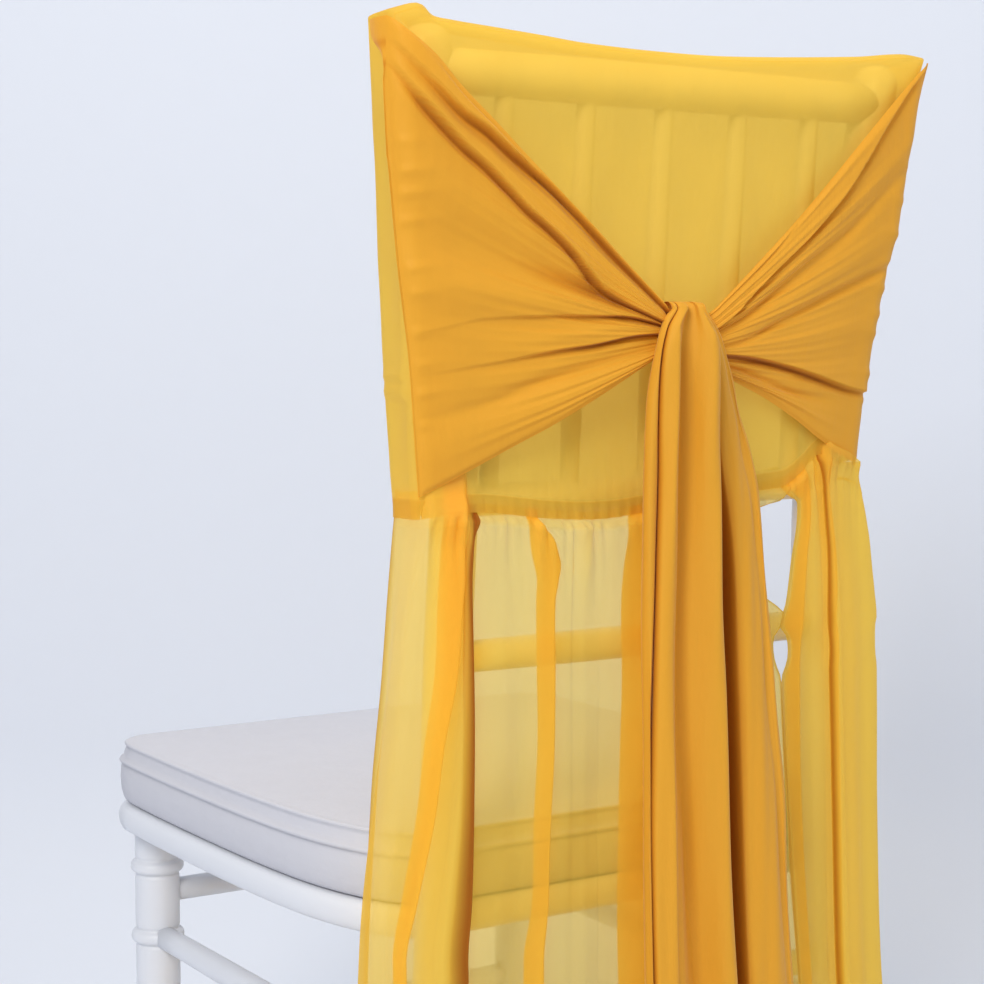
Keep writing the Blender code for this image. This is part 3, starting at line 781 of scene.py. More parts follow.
def hoodPanel(front):
    u = np.linspace(0, 1, 121)[None, :]
    spans = ((0, 0.06, 17), (0.06, 0.95, 66), (0.95, 1, 14))
    v = np.unique(np.concatenate([np.linspace(*span) for span in spans]))[::-1][:, None]
    p = hoodPoint(u, v, hood["panelInset"], 0.0)
    x, y = p[..., 0], p[..., 1]
    level = hoodDepth if front else 0.0
    z = hoodPoint(u, v, hood["panelInset"], level)[..., 2]
    above = z - hemLine(x, level)
    low = hoodPoint(0.0 * u, v, 0.0, 0.0)[..., 0]
    high = hoodPoint(0.0 * u + 1, v, 0.0, 0.0)[..., 0]
    near = np.minimum(np.minimum(x - low, high - x), smoothLine(hood["top"], x) - z)
    depth = turnedDepth(near, hoodCorner)
    slack = hood["slack"] * np.sin(pi * u) * np.sin(pi * np.minimum(1.0, v * 1.2))
    calm = soften(near / 0.03) * soften(above / 0.02)
    soft = wrinkles(x, z, hood["waves"]) * calm
    gather = np.sin(x * 2 * pi / 0.0083 + 2.2 * np.sin(x * 61)) + 0.4 * np.sin(x * 2 * pi / 0.0051)
    pucker = hood["pucker"] * np.exp(-above / 0.010) * gather
    step = hood["hemStep"] * soften((above - hood["hemWidth"]) / 0.0012)
    inward = depth + slack + soft + pucker + step
    y = y + (hoodDepth - inward if front else inward)
    hem = np.maximum(1.0 - soften((above - hood["hemWidth"]) / 0.0010), 0.0 if front else 0.32)
    rows = np.stack([x, y, z], axis=-1)
    return (rows[:, ::-1] if front else rows), (hem[:, ::-1] if front else hem)


def buildHood():
    for name, front, node in (("hoodBack", False, "hood_back"), ("hoodFront", True, "hood_front")):
        rows, hem = hoodPanel(front)
        panel = hang(clothPiece(name, [rows], sheer, [hem]), node)
    seam = radians(45)
    turns = np.linspace(seam, radians(90), 9)
    section = [(hoodCorner * (1 - sin(a)), hoodCorner * (1 - cos(a))) for a in turns]
    flatRun = np.linspace(section[-1][1], hoodDepth - section[-1][1], 14)[1:-1]
    section = section + [(0.0, d) for d in flatRun] + [(i, hoodDepth - d) for i, d in reversed(section)]
    sideV = np.linspace(0, 1, 110)
    topU = np.linspace(0, 1, 130)[1:-1]
    u = np.concatenate([0 * sideV, topU, 0 * sideV + 1])
    v = np.concatenate([sideV, 0 * topU + 1, sideV[::-1]])
    outward = np.concatenate([0 * sideV - 1, 0 * topU, 0 * sideV + 1])
    rows = []
    for index, (inset, depth) in enumerate(section):
        p = hoodPoint(u, v, inset, depth)
        middle = sin(pi * index / (len(section) - 1))
        z = p[:, 2]
        crease = sum(height * hump(z - at, breadth) for at, height, breadth in hood["creases"])
        sag = wrinkles(z, depth + 0 * z, hood["stripWaves"])
        p[:, 0] += outward * middle * (crease * (outward < 0) + sag - 0.0012)
        rows.append(p)
    rows = np.array(rows)
    depths = np.array([depth for inset, depth in section])[:, None]
    above = rows[..., 2] - hemLine(rows[..., 0], depths)
    hem = 1.0 - soften((above - hood["hemWidth"]) / 0.0010)
    edge = np.zeros(len(section))
    edge[:1] = edge[-1:] = 0.45
    hem = np.maximum(hem, edge[:, None])
    hem = np.maximum(hem, 0.45 + 0.2 * soften((rows[..., 2] - 0.72) / 0.15) * (rows[..., 0] < 0))
    strip = hang(clothPiece("hoodStrip", [rows], sheer, [hem]), "hood_gusset")


buildHood()
print("hood built")


# The skirt: two gathered panels

skirt = {
    "top": 0.645,
    "fineTo": 0.585,  # its rows lie closer above this
    "bottom": 0.045,
    "flare": 0.05,
    # How far its gathered top goes up behind the hood's hem
    "tuck": 0.005,
    # Two folds come up in front of that hem, to lie under the sash: middle, half breadth, top by x
    "risers": ((-0.1575, 0.0168), (0.147, 0.0195)),
    "riserTop": (
        (-0.175, 0.65), (-0.158, 0.659), (-0.14, 0.6675), (-0.1, 0.672), (0.1, 0.679), (0.12, 0.6775),
        (0.127, 0.675), (0.133, 0.6712), (0.1495, 0.6647), (0.157, 0.6597), (0.163, 0.655),
        (0.17, 0.65),
    ),
    "freeEdge": (
        (0.66, -0.169), (0.588, -0.1745), (0.541, -0.178), (0.477, -0.185), (0.362, -0.192),
        (0.045, -0.2),
    ),
    "corner": (
        (0.66, -0.167), (0.625, -0.17), (0.59, -0.177), (0.536, -0.185), (0.48, -0.196), (0.395, -0.21),
        (0.2, -0.216), (0.045, -0.218),
    ),
    "sideDensity": 0.34,
}
# Lines of the left panel by height: edges of the folds that lie flat, middles of the round ones
leftFolds = {
    "broadLeft": (
        (0.66, -0.1545), (0.637, -0.1568), (0.614, -0.1585), (0.591, -0.16), (0.549, -0.163),
        (0.508, -0.1722), (0.468, -0.18), (0.422, -0.1925), (0.39, -0.2), (0.045, -0.2085),
    ),
    "broadRight": (
        (0.66, -0.1435), (0.622, -0.144), (0.601, -0.1445), (0.59, -0.146), (0.548, -0.1514),
        (0.507, -0.1625), (0.467, -0.1705), (0.421, -0.1845), (0.389, -0.1935), (0.045, -0.2),
    ),
    "narrowLeft": (
        (0.66, -0.1385), (0.635, -0.1375), (0.617, -0.1412), (0.601, -0.143), (0.569, -0.1435),
        (0.547, -0.1442), (0.505, -0.1455), (0.464, -0.149), (0.416, -0.156), (0.383, -0.161),
        (0.045, -0.176),
    ),
    "narrowRight": (
        (0.66, -0.134), (0.635, -0.1328), (0.625, -0.1354), (0.617, -0.1372), (0.601, -0.139),
        (0.569, -0.1397), (0.505, -0.141), (0.463, -0.1434), (0.415, -0.148), (0.382, -0.1524),
        (0.045, -0.164),
    ),
    "brightLeft": (
        (0.66, -0.099), (0.636, -0.0983), (0.625, -0.0961), (0.612, -0.0945), (0.598, -0.092),
        (0.586, -0.0926), (0.543, -0.094), (0.5, -0.0955), (0.458, -0.0995), (0.408, -0.104),
        (0.375, -0.112), (0.045, -0.128),
    ),
    "brightRight": (
        (0.66, -0.0905), (0.636, -0.09), (0.625, -0.0834), (0.607, -0.0772), (0.596, -0.079),
        (0.585, -0.0818), (0.542, -0.0842), (0.499, -0.0876), (0.457, -0.092), (0.407, -0.096),
        (0.373, -0.1015), (0.045, -0.116),
    ),
    "gather": ((0.66, -0.0595), (0.608, -0.058), (0.5, -0.062), (0.045, -0.088)),
    "stripLeft": (
        (0.66, -0.024), (0.63, -0.024), (0.6, -0.0285), (0.582, -0.0304), (0.537, -0.0312),
        (0.493, -0.0352), (0.45, -0.0392), (0.385, -0.0425), (0.045, -0.056),
    ),
    "stripRight": (
        (0.66, -0.009), (0.582, -0.01), (0.537, -0.011), (0.464, -0.018), (0.37, -0.022),
        (0.045, -0.034),
    ),
    "hidden": ((0.66, 0.02), (0.4, 0.012), (0.045, 0.002)),
    "nearSlit": ((0.66, 0.052), (0.4, 0.05), (0.045, 0.045)),
    "slit": (
        (0.665, 0.104), (0.641, 0.104), (0.635, 0.098), (0.631, 0.077), (0.6, 0.0765), (0.575, 0.083),
        (0.566, 0.0965), (0.556, 0.094), (0.549, 0.088), (0.535, 0.0885), (0.522, 0.0935),
        (0.4, 0.0945), (0.045, 0.104),
    ),
}
rightFolds = {
    "slit": (
        (0.665, 0.094), (0.641, 0.096), (0.635, 0.101), (0.63, 0.1075), (0.6, 0.1025), (0.572, 0.0978),
        (0.565, 0.095), (0.556, 0.0925), (0.549, 0.0975), (0.535, 0.0975), (0.522, 0.092), (0.4, 0.092),
        (0.045, 0.1015),
    ),
    "streak": (
        (0.66, 0.108), (0.63, 0.1185), (0.6, 0.1155), (0.572, 0.112), (0.522, 0.106), (0.4, 0.104),
        (0.045, 0.115),
    ),
    "darkLine": (
        (0.675, 0.1175), (0.655, 0.1215), (0.636, 0.127), (0.61, 0.1315), (0.58, 0.133),
        (0.507, 0.1315), (0.443, 0.129), (0.326, 0.1257), (0.045, 0.13),
    ),
    "tanRight": (
        (0.675, 0.15), (0.634, 0.157), (0.569, 0.1605), (0.504, 0.159), (0.44, 0.156), (0.322, 0.152),
        (0.045, 0.16),
    ),
    "corner": (
        (0.675, 0.15), (0.6455, 0.1578), (0.642, 0.1612), (0.639, 0.164), (0.636, 0.1662),
        (0.63, 0.1695), (0.62, 0.1732), (0.6, 0.1782), (0.57, 0.1825), (0.5, 0.1813), (0.43, 0.179),
        (0.3, 0.1765), (0.045, 0.189),
    ),
}


def clothFlare(z):
    fall = np.clip((hemHeight + 0.02 - z) / (hemHeight - skirt["bottom"]), 0, 1)
    return skirt["flare"] * fall**1.2, fall


# Controls (x, out, density) of a fold pressed flat to the right: three layers from left to right; a
# density above 1 paints shade along it
def laidFold(left, right, lift, dense=0.0):
    middle = mix(left, right, 0.5)
    return [
        (middle, lift * 0.85, dense),
        (right - 0.0012, lift, dense),
        (right, lift * 0.5, dense),
        (right - 0.0015, -0.0006, dense),
        (middle, -0.0010, dense),
        (left + 0.0012, -0.0012, dense),
        (left, -0.0020, dense),
        (left + 0.0014, -0.0028, dense),
        (middle, -0.0024, dense),
        (right, -0.0010, 0.0),
    ]


# Open folds as shares of the half breadth, height and density: one round, with a neck narrower than its
# crown, and one a low ripple that can die away
roundShape = (
    (-0.9, 0, 0), (-0.45, 0.12, 1), (-0.95, 0.55, 1), (0, 1, 1), (0.95, 0.55, 1), (0.45, 0.12, 1),
    (0.9, 0, 0),
)
lowShape = ((-2, 0, 0), (-1, 0.35, 0.5), (0, 1, 1), (1, 0.35, 0.5), (2, 0, 0))


def openFold(shape, middle, half, height, dense=0.0):
    return [(middle + half * aside, height * up, dense * share) for aside, up, share in shape]


# The folds' lines at this height, how far the skirt stands out there, and how far its folds have grown
def linesAt(folds, z):
    at = {key: float(smoothLine(rows, z)) for key, rows in folds.items()}
    out, fall = (float(value) for value in clothFlare(z))
    return at, out, 0.25 + 0.75 * float(soften(fall * 5))


# The left panel's path at this height, from its free edge to the slit
def leftSection(z):
    at, out, grow = linesAt(leftFolds, z)
    free = float(smoothLine(skirt["freeEdge"], z))
    corner = float(smoothLine(skirt["corner"], z))
    side = skirt["sideDensity"]
    path = [
        # The free edge's density above 1 paints some shade on it
        (free, -out - 0.031, 1.35),
        (free - 0.0015, -out - 0.022, side),
        (mix(free, corner, 0.5) - 0.003 * grow, -out - 0.012, side),
        (corner - 0.001, -0.004 - out * 0.25, side),
        (corner + 0.003, -0.0004, side),
        (mix(corner, at["broadLeft"], 0.6), 0.0015 * grow, side),
    ]
    path += laidFold(at["broadLeft"], at["broadRight"], 0.0045 * grow, 0.05)
    path += [(mix(at["broadRight"], at["narrowLeft"], 0.6), 0.0004, 0.0)]
    # The narrow fold's density above 1 paints shade along it
    path += laidFold(at["narrowLeft"], at["narrowRight"], 0.005 * grow, 1.9)
    path += [
        (mix(at["narrowRight"], at["brightLeft"], 0.40), 0.0018, 0.0),
        (mix(at["narrowRight"], at["brightLeft"], 0.72), 0.0002, 0.0),
    ]
    path += laidFold(at["brightLeft"], at["brightRight"], 0.005 * grow)
    gathered = float(hump(np.maximum(0.632 - z, 0.0), 0.036))
    path += [(mix(at["brightRight"], at["gather"], 0.5), 0.0006, 0.0)]
    path += openFold(lowShape, at["gather"], 0.0042, 0.006 * gathered + 0.0006, 0.55 * gathered)
    path += [(mix(at["gather"], at["stripLeft"], 0.5), 0.0004, 0.0)]
    path += laidFold(at["stripLeft"], at["stripRight"], 0.006 * grow)
    path += openFold(roundShape, at["hidden"], 0.010, 0.008 * grow)
    path += openFold(roundShape, at["nearSlit"], 0.008, 0.007 * grow)
    path += [(at["slit"] - 0.006, 0.0006, 0.0), (at["slit"] - 0.001, 0.0, 0.3)]
    return path


# The right panel's path, from the slit round to its free edge
def rightSection(z):
    at, out, grow = linesAt(rightFolds, z)
    dark = at["darkLine"]
    path = [(at["slit"], 0.0012, 0.3), (at["slit"] + 0.002, 0.0014, 0.0)]
    path += laidFold(at["slit"] + 0.0045, at["streak"], 0.003 * grow)
    path += [
        (mix(at["streak"], dark, 0.40), 0.0010 * grow, 0.15),
        (mix(at["streak"], dark, 0.75), -0.0010, 0.2),
        (dark - 0.001, -0.0028, 0.3),
        (dark + 0.008, -0.0038, 0.0),
        (dark + 0.011, -0.0030, 0.0),
        (dark + 0.007, -0.0012, 0.0),
        (dark + 0.001, -0.0004, 0.4),
        # Painted shade along the dark line, from its density above 1
        (dark, 0.0030, 1.9),
        (dark + 0.0030, 0.0066 * grow + 0.002, 0.0),
        (dark + 0.0065, 0.0066 * grow + 0.002, 0.0),
        (mix(dark, at["tanRight"], 0.55), 0.0062 * grow + 0.002, 0.1),
        (at["tanRight"], 0.0022 * grow, 0.1),
    ]
    corner = at["corner"]
    path += [
        (mix(at["tanRight"], corner, 0.6), -0.0008, 0.1),
        (corner, -0.008 - out * 0.20, 0.1),
        (corner + 0.0045 * grow, -0.020 - out * 0.55, 0.1),
        (corner + 0.0015 * grow, -0.032 - out * 0.85, 0.1),
        (corner - 0.003, -0.040 - out, 0.1),
    ]
    return path


gathers = {"height": 0.0017, "reach": 0.018, "step": 0.0078, "slowStep": 0.0131, "hang": 0.0012}


# Rows of points from the hem down, the density of the cloth, and the lengths along and below
def skirtPanel(section, heights, perSpan):
    rows = np.array([through(section(z), perSpan) for z in heights])
    x, out, dense = rows[..., 0], rows[..., 1], rows[..., 2]
    nearHem = smoothLine(hood["hem"], np.clip(x, -0.175, 0.165))
    riser = 0.0 * x
    for middle, half in skirt["risers"]:
        riser = np.maximum(riser, soften((half - np.abs(x - middle)) / 0.004 + 0.5))
    top = mix(nearHem + skirt["tuck"], smoothLine(skirt["riserTop"], x), riser)
    down = np.array(heights)[:, None] + 0 * x
    z = down + (top - heights[0]) * np.clip((down - heights[0] + 0.03) / 0.03, 0.0, 1.0) ** 1.5
    flare, fall = clothFlare(z)
    run = np.zeros_like(x)
    run[:, 1:] = np.cumsum(np.hypot(np.diff(x, axis=1), np.diff(out, axis=1)), axis=1)
    below = np.maximum(nearHem - z, 0.0)
    pleat = np.sin(2 * pi * x / gathers["step"] + 1.7 * np.sin(x * 90))
    pleat = pleat + 0.5 * np.sin(2 * pi * x / gathers["slowStep"] + 1.0)
    fine = gathers["height"] * pleat * np.exp(-below / gathers["reach"]) * soften(below / 0.004)
    drift = gathers["hang"] * np.sin(run * 55 + z * 9) * soften(fall * 3)
    drift = drift + 0.0006 * np.sin(run * 140 - z * 13)
    squeeze = soften((z - nearHem + 0.006) / 0.007) * soften((out + 0.005) / 0.004)
    held = squeeze * (1 - riser)
    y = rearFace(z) - flare - out * (1 - 0.75 * held) - fine - drift * (1 - squeeze)
    raised = riser * soften((z - nearHem + 0.020) / 0.021) * soften((out + 0.005) / 0.004)
    y = y + 0.0032 * held - raised * mix(0.0036, 0.0006, soften((z - nearHem - 0.002) / 0.012))
    return np.stack([x, y, z], axis=-1), dense, below, run


def buildSkirt():
    fine = np.linspace(skirt["top"], skirt["fineTo"], 50)[:-1]
    heights = np.concatenate([fine, np.linspace(skirt["fineTo"], skirt["bottom"], 110)])
    for name, section, node, flat in (
        ("skirtLeft", leftSection, "skirt_left", (0.62, 0.60)),
        ("skirtRight", rightSection, "skirt_right", (0.20, 0.60)),
    ):
        rows, dense, below, run = skirtPanel(section, heights, 6)
        total = run[:, -1:]
        edge = np.maximum(1 - soften((run - 0.0022) / 0.001), 1 - soften((total - run - 0.0018) / 0.001))
        band = 1 - soften((below - 0.004) / 0.004)
        sole = 1 - soften((rows[..., 2] - skirt["bottom"] - 0.012) / 0.001)
        # A fold's density above 1 is painted shade
        hem = np.maximum.reduce([edge, band * 0.45, sole, dense])
        panel = hang(clothPiece(name, [rows], sheer, [hem]), node)
        print(name, "path at the hem and bottom", total[[0, -1], 0].round(3).tolist())


buildSkirt()
print("skirt built")


# The sash: a wing from each side seam to the knot, and a tail from the knot

wingLeft = {
    "side": -1,
    "half": hood["left"],
    # Share up the wing, height at the seam, height at the knot
    "seam": (
        (0.0, 0.65, 0.726), (0.2, 0.702, 0.732), (0.4, 0.754, 0.743), (0.6, 0.806, 0.749),
        (0.8, 0.858, 0.754), (1.0, 0.908, 0.763),
    ),
    "inset": ((0.64, 0.0045), (0.72, 0.0045), (0.78, 0.0015), (0.84, 0.0), (0.92, 0.0)),
    "knotX": -0.034,
    "knotOut": 0.028,
    "edgeLift": (
        (0.0, 0.007), (0.05, 0.007), (0.1, 0.0082), (0.16, 0.009), (0.25, 0.0066), (0.38, 0.006),
        (0.5, 0.0048), (0.62, 0.0036), (0.75, 0.0036), (0.9, 0.002), (1.2, 0.0),
    ),
    "lowerLift": ((0.0, 0.0), (0.375, 0.003), (0.6, 0.002), (1.2, 0.0)),
    # How far the seam edge turns round the corner
    "wrap": ((0.0, 0.0006), (0.9, 0.0006), (0.935, 0.006), (0.965, 0.017), (1.0, 0.019)),
    # How far behind the knot the wing runs
    "past": 1.16,
    # Folds that lap over the cloth below them: height, how far each lies up the wing, depth and
    # breadth of the groove below it, and its line of (towards the knot, share up the wing, strength)
    "laps": (
        (0.0072, 0.022, 0.0042, 0.0045, (
            (-0.05, 0.94, 0.2), (0.05, 0.905, 0.5), (0.118, 0.893, 0.9), (0.26, 0.877, 1.0),
            (0.34, 0.876, 1.0), (0.424, 0.863, 1.05), (0.503, 0.844, 1.1), (0.587, 0.835, 1.1),
            (0.672, 0.807, 1.2), (0.754, 0.744, 1.3), (0.841, 0.688, 1.2), (1.16, 0.68, 1.0),
        )),
        (0.005, 0.018, 0.0058, 0.0058, (
            (-0.05, 0.965, 0.2), (0.08, 0.945, 0.4), (0.184, 0.94, 0.7), (0.262, 0.945, 0.9),
            (0.344, 0.958, 1.0), (0.426, 0.963, 1.1), (0.506, 0.974, 1.2), (0.6, 0.99, 1.3),
            (0.69, 0.988, 1.3), (0.76, 0.98, 1.3), (0.84, 0.976, 1.2), (0.93, 0.976, 1.1),
            (1.16, 0.97, 0.8),
        )),
        (0.0042, 0.014, 0.0046, 0.0046, (
            (-0.05, 0.26, 0.0), (0.105, 0.27, 0.05), (0.365, 0.295, 0.25), (0.6, 0.325, 0.7),
            (0.77, 0.34, 1.2), (0.94, 0.38, 1.2), (1.16, 0.4, 1.0),
        )),
        (0.004, 0.016, 0.0046, 0.0062, (
            (-0.05, 0.36, 0.0), (0.075, 0.365, 0.05), (0.305, 0.415, 0.15), (0.45, 0.44, 0.35),
            (0.61, 0.47, 0.5), (0.775, 0.51, 0.8), (0.935, 0.575, 1.4), (1.16, 0.6, 1.0),
        )),
    ),
    # Soft troughs (below zero) and ridges: height, half breadth, line as above; the troughs also get
    # painted shade
    "soft": (
        (-0.005, 0.015, (
            (-0.05, 0.6, 0.2), (0.1, 0.595, 0.4), (0.33, 0.622, 0.8), (0.5, 0.635, 1.1),
            (0.67, 0.655, 1.6), (0.76, 0.665, 2.0), (0.84, 0.665, 1.9), (0.92, 0.66, 1.2),
            (1.16, 0.65, 0.5),
        )),
        (0.0056, 0.013, (
            (-0.05, 0.46, 0.2), (0.135, 0.475, 0.5), (0.315, 0.495, 0.8), (0.61, 0.54, 1.0),
            (0.935, 0.66, 1.0), (1.16, 0.66, 0.8),
        )),
        (-0.0044, 0.0055, (
            (-0.05, 0.15, 0.1), (0.12, 0.165, 0.3), (0.345, 0.18, 0.7), (0.555, 0.215, 1.0),
            (0.725, 0.235, 1.2), (0.94, 0.25, 1.2), (1.16, 0.26, 1.0),
        )),
        (0.0034, 0.012, ((-0.05, 0.08, 0.3), (0.3, 0.09, 0.6), (0.6, 0.11, 0.9), (1.16, 0.12, 1.0))),
        (-0.0024, 0.0018, (
            (0.1, 0.985, 0.0), (0.25, 0.982, 0.9), (0.5, 0.98, 1.0), (0.62, 0.985, 0.5),
            (0.75, 0.99, 0.0), (1.16, 0.99, 0.0),
        )),
        (0.003, 0.014, (
            (-0.05, 0.74, 0.3), (0.25, 0.74, 0.8), (0.55, 0.77, 0.7), (0.8, 0.78, 0.0),
            (1.16, 0.78, 0.0),
        )),
        (0.0026, 0.006, (
            (0.0, 0.4, 0.0), (0.35, 0.345, 0.5), (0.65, 0.385, 1.0), (0.9, 0.45, 1.2),
            (1.16, 0.48, 1.0),
        )),
    ),
    # Small gathers where it is sewn: height and strength
    "puckers": (
        (0.69, 0.8), (0.708, 0.9), (0.724, 0.7), (0.742, 0.9), (0.764, 0.8), (0.778, 1.0), (0.804, 1.0),
        (0.819, 1.1), (0.831, 1.0), (0.847, 0.7),
    ),
    "rows": 250,
}
wingRight = {
    "side": 1,
    "half": hood["right"],
    "seam": (
        (0.0, 0.665, 0.714), (0.2, 0.713, 0.723), (0.4, 0.76, 0.734), (0.6, 0.808, 0.744),
        (0.8, 0.856, 0.752), (1.0, 0.902, 0.762),
    ),
    "inset": ((0.64, 0.0), (0.92, 0.0)),
    "knotX": 0.03,
    "knotOut": 0.0105,
    "edgeLift": (
        (0.0, 0.015), (0.065, 0.0165), (0.18, 0.015), (0.31, 0.0115), (0.47, 0.007), (0.63, 0.0035),
        (0.8, 0.002), (1.2, 0.0),
    ),
    "lowerLift": (
        (0.0, -0.008), (0.1, -0.0065), (0.33, 0.001), (0.48, 0.006), (0.68, 0.0085), (0.89, 0.0065),
        (1.2, 0.003),
    ),
    "wrap": ((0.0, 0.0006), (1.0, 0.0006)),
    "past": 1.12,
    "laps": (
        (0.0056, 0.018, 0.0036, 0.0044, (
            (-0.05, 0.99, 0.2), (0.165, 0.97, 0.6), (0.385, 0.91, 0.9), (0.6, 0.865, 1.0),
            (0.82, 0.83, 1.0), (0.98, 0.735, 1.0), (1.16, 0.72, 1.0),
        )),
        (0.0052, 0.017, 0.005, 0.0042, (
            (-0.05, 0.16, 0.3), (0.18, 0.18, 0.7), (0.445, 0.23, 1.0), (0.705, 0.28, 1.2),
            (0.925, 0.315, 1.3), (1.16, 0.33, 1.0),
        )),
    ),
    "soft": (
        (-0.004, 0.0065, (
            (-0.05, 0.79, 0.2), (0.14, 0.77, 0.4), (0.38, 0.72, 0.8), (0.66, 0.7, 1.1),
            (0.905, 0.625, 1.3), (1.16, 0.6, 1.0),
        )),
        (-0.004, 0.0038, (
            (-0.05, 0.515, 0.4), (0.15, 0.515, 0.8), (0.405, 0.515, 1.0), (0.68, 0.49, 1.1),
            (0.915, 0.425, 1.1), (1.16, 0.42, 1.0),
        )),
        (0.0036, 0.012, ((-0.05, 0.62, 0.2), (0.4, 0.61, 0.7), (0.9, 0.54, 1.0), (1.16, 0.52, 0.8))),
        (-0.0044, 0.0034, (
            (0.25, 0.13, 0.1), (0.51, 0.145, 0.8), (0.72, 0.175, 1.2), (0.905, 0.215, 1.4),
            (1.16, 0.22, 1.0),
        )),
        (0.0034, 0.011, ((-0.05, 0.36, 0.2), (0.4, 0.37, 0.7), (0.9, 0.37, 1.0), (1.16, 0.37, 0.8))),
        (0.0026, 0.008, ((-0.05, 0.88, 0.2), (0.4, 0.82, 0.8), (0.9, 0.73, 1.0), (1.16, 0.7, 0.8))),
        (-0.0022, 0.002, (
            (0.4, 0.985, 0.3), (0.64, 0.975, 0.8), (0.78, 0.955, 0.9), (0.945, 0.945, 0.8),
            (1.16, 0.94, 0.4),
        )),
        (0.0026, 0.006, ((0.2, 0.07, 0.0), (0.5, 0.075, 0.8), (0.9, 0.1, 1.2), (1.16, 0.11, 1.0))),
    ),
    "puckers": (
        (0.7, 0.8), (0.716, 1.0), (0.742, 0.8), (0.755, 0.9), (0.771, 1.0), (0.788, 0.7), (0.806, 0.9),
        (0.828, 0.7), (0.85, 0.6),
    ),
    "rows": 240,
}


# What both wings share
wingCloth = {
    "seamSpan": 0.255,  # breadth at the seam and at the knot
    "knotSpan": 0.040,
    "knotRelief": 0.45,  # share of the folds' height that is left at the knot
    "sag": 0.006,
    "lip": 0.0014,  # breadth of the edge of a lap
    # Fine fan of creases: height, number, shift
    "fan": (0.00035, 17, 0.00022, 31, 1.1),
    "pucker": 0.0020,
    "cornerTurn": 0.85,  # how closely it follows the hood's round corner
    "belly": 0.0022,
    "sink": 0.007,  # how far its end drops behind the knot
    "dark": (0.85, 0.15, 0.30),  # painted shade under a lap's edge, in its groove and in a trough
}


def wingGrid(wing):
    side = wing["side"]
    a = np.concatenate([np.linspace(0, 0.06, 14)[:-1], np.linspace(0.06, wing["past"], 118)])[None, :]
    b = np.linspace(0, 1, wing["rows"])[:, None]
    seamZ = smoothLine(wing["seam"], b, 1)
    knotZ = smoothLine(wing["seam"], b, 2)
    seamX = side * (smoothLine(wing["half"], seamZ) + clothGap - smoothLine(wing["inset"], seamZ))
    reach = np.minimum(a, 1.0)
    x = mix(seamX, wing["knotX"], a)
    z = mix(seamZ, knotZ, a) - wingCloth["sag"] * (1 - b) * np.sin(pi * reach)
    z = z + smoothLine(wing["edgeLift"], a) * soften((b - 0.86) / 0.14)
    z = z + smoothLine(wing["lowerLift"], a) * soften((0.16 - b) / 0.16)
    height = mix(wingCloth["seamSpan"], wingCloth["knotSpan"], reach)
    narrow = mix(1.0, wingCloth["knotRelief"], reach)
    lip = wingCloth["lip"]
    # Painted shade: under each lap's edge, in its groove and in the soft troughs
    lapEdgePaintedShade, groovePaintedShade, troughPaintedShade = wingCloth["dark"]
    relief = 0.0 * x
    shade = 0.0 * x
    for lift, lie, groove, grooveWidth, line in wing["laps"]:
        middle = smoothLine(line, a, 1)
        strength = smoothLine(line, a, 2)
        away = (b - middle) * height
        rise = soften(away / lip + 0.5) * np.exp(-np.maximum(away, 0) / (lie * narrow))
        sunk = hump(np.minimum(away + 0.0012, 0), grooveWidth * narrow) * soften(0.5 - away / lip)
        relief = relief + strength * (lift * narrow * rise - groove * narrow * sunk)
        # Painted shadow line just below the lap's edge
        lapEdgeShadow = hump(away + lip * narrow, 0.0017 * narrow + 0.0003)
        shade = np.maximum(shade, np.clip(strength, 0, 1.2) * (lapEdgePaintedShade * lapEdgeShadow + groovePaintedShade * sunk))
    for rise, breadth, line in wing["soft"]:
        middle = smoothLine(line, a, 1)
        strength = smoothLine(line, a, 2)
        bowl = hump((b - middle) * height, breadth * narrow)
        relief = relief + rise * strength * narrow * bowl
        if rise < 0:
            # Painted shade in the trough
            troughShadeMask = hump((b - middle) * height, breadth * narrow * 0.8)
            shade = np.maximum(shade, troughPaintedShade * np.clip(strength, 0, 2) ** 1.5 * troughShadeMask)
    broad, broadCount, fine, fineCount, shift = wingCloth["fan"]
    fan = broad * np.sin(2 * pi * b * broadCount + 2.0 * np.sin(b * 11))
    fan = fan + fine * np.sin(2 * pi * b * fineCount + shift)
    relief = relief + fan * soften(a * 1.4) * (1.3 - 0.5 * reach)
    for at, strength in wing["puckers"]:
        tuck = hump(z - at - 0.02 * a, 0.0032) * np.exp(-a / 0.075)
        relief = relief + wingCloth["pucker"] * strength * tuck
    edgeRoll = -0.0022 * hump(b * height, 0.0022) - 0.0016 * hump((1 - b) * height, 0.0020)
    distance = side * (side * (smoothLine(wing["half"], z) + clothGap) - x)
    turn = turnedDepth(np.maximum(0.0, distance), hoodCorner + clothGap)
    turn = turn * wingCloth["cornerTurn"] - clothGap
    out = wing["knotOut"] * np.minimum(a, 1.05) ** 1.4 + wingCloth["belly"] * np.sin(pi * reach) ** 0.6
    out = out - wingCloth["sink"] * soften((a - 1.02) / 0.09)
    shown = soften(a / 0.03 + 0.15)
    y = rearFace(z) + turn - out - (relief + edgeRoll) * shown
    grid = np.stack([x, y, z], axis=-1)
    # Painted shade, doubled so that past a half it also fills the crease mask; the lower edge is marked
    # as a hem
    mark = np.maximum(2 * np.clip(shade, 0, 1), 0.4 * (1 - soften(b * height / 0.002)))
    turns = np.linspace(1, 0, 13)[:-1]
    deep = smoothLine(wing["wrap"], b[:, 0])
    wrapped = []
    for t in turns:
        aside = [0.0012 * side * sin(pi * t) + 0 * deep, t * deep, 0 * deep]
        wrapped.append(grid[:, 0] + np.stack(aside, axis=-1))
    grid = np.concatenate([np.stack(wrapped, axis=1), grid], axis=1)
    mark = np.concatenate([np.repeat(mark[:, :1], len(turns), axis=1) + 0.5, mark], axis=1)
    return (grid, mark) if side < 0 else (grid[::-1], mark[::-1])


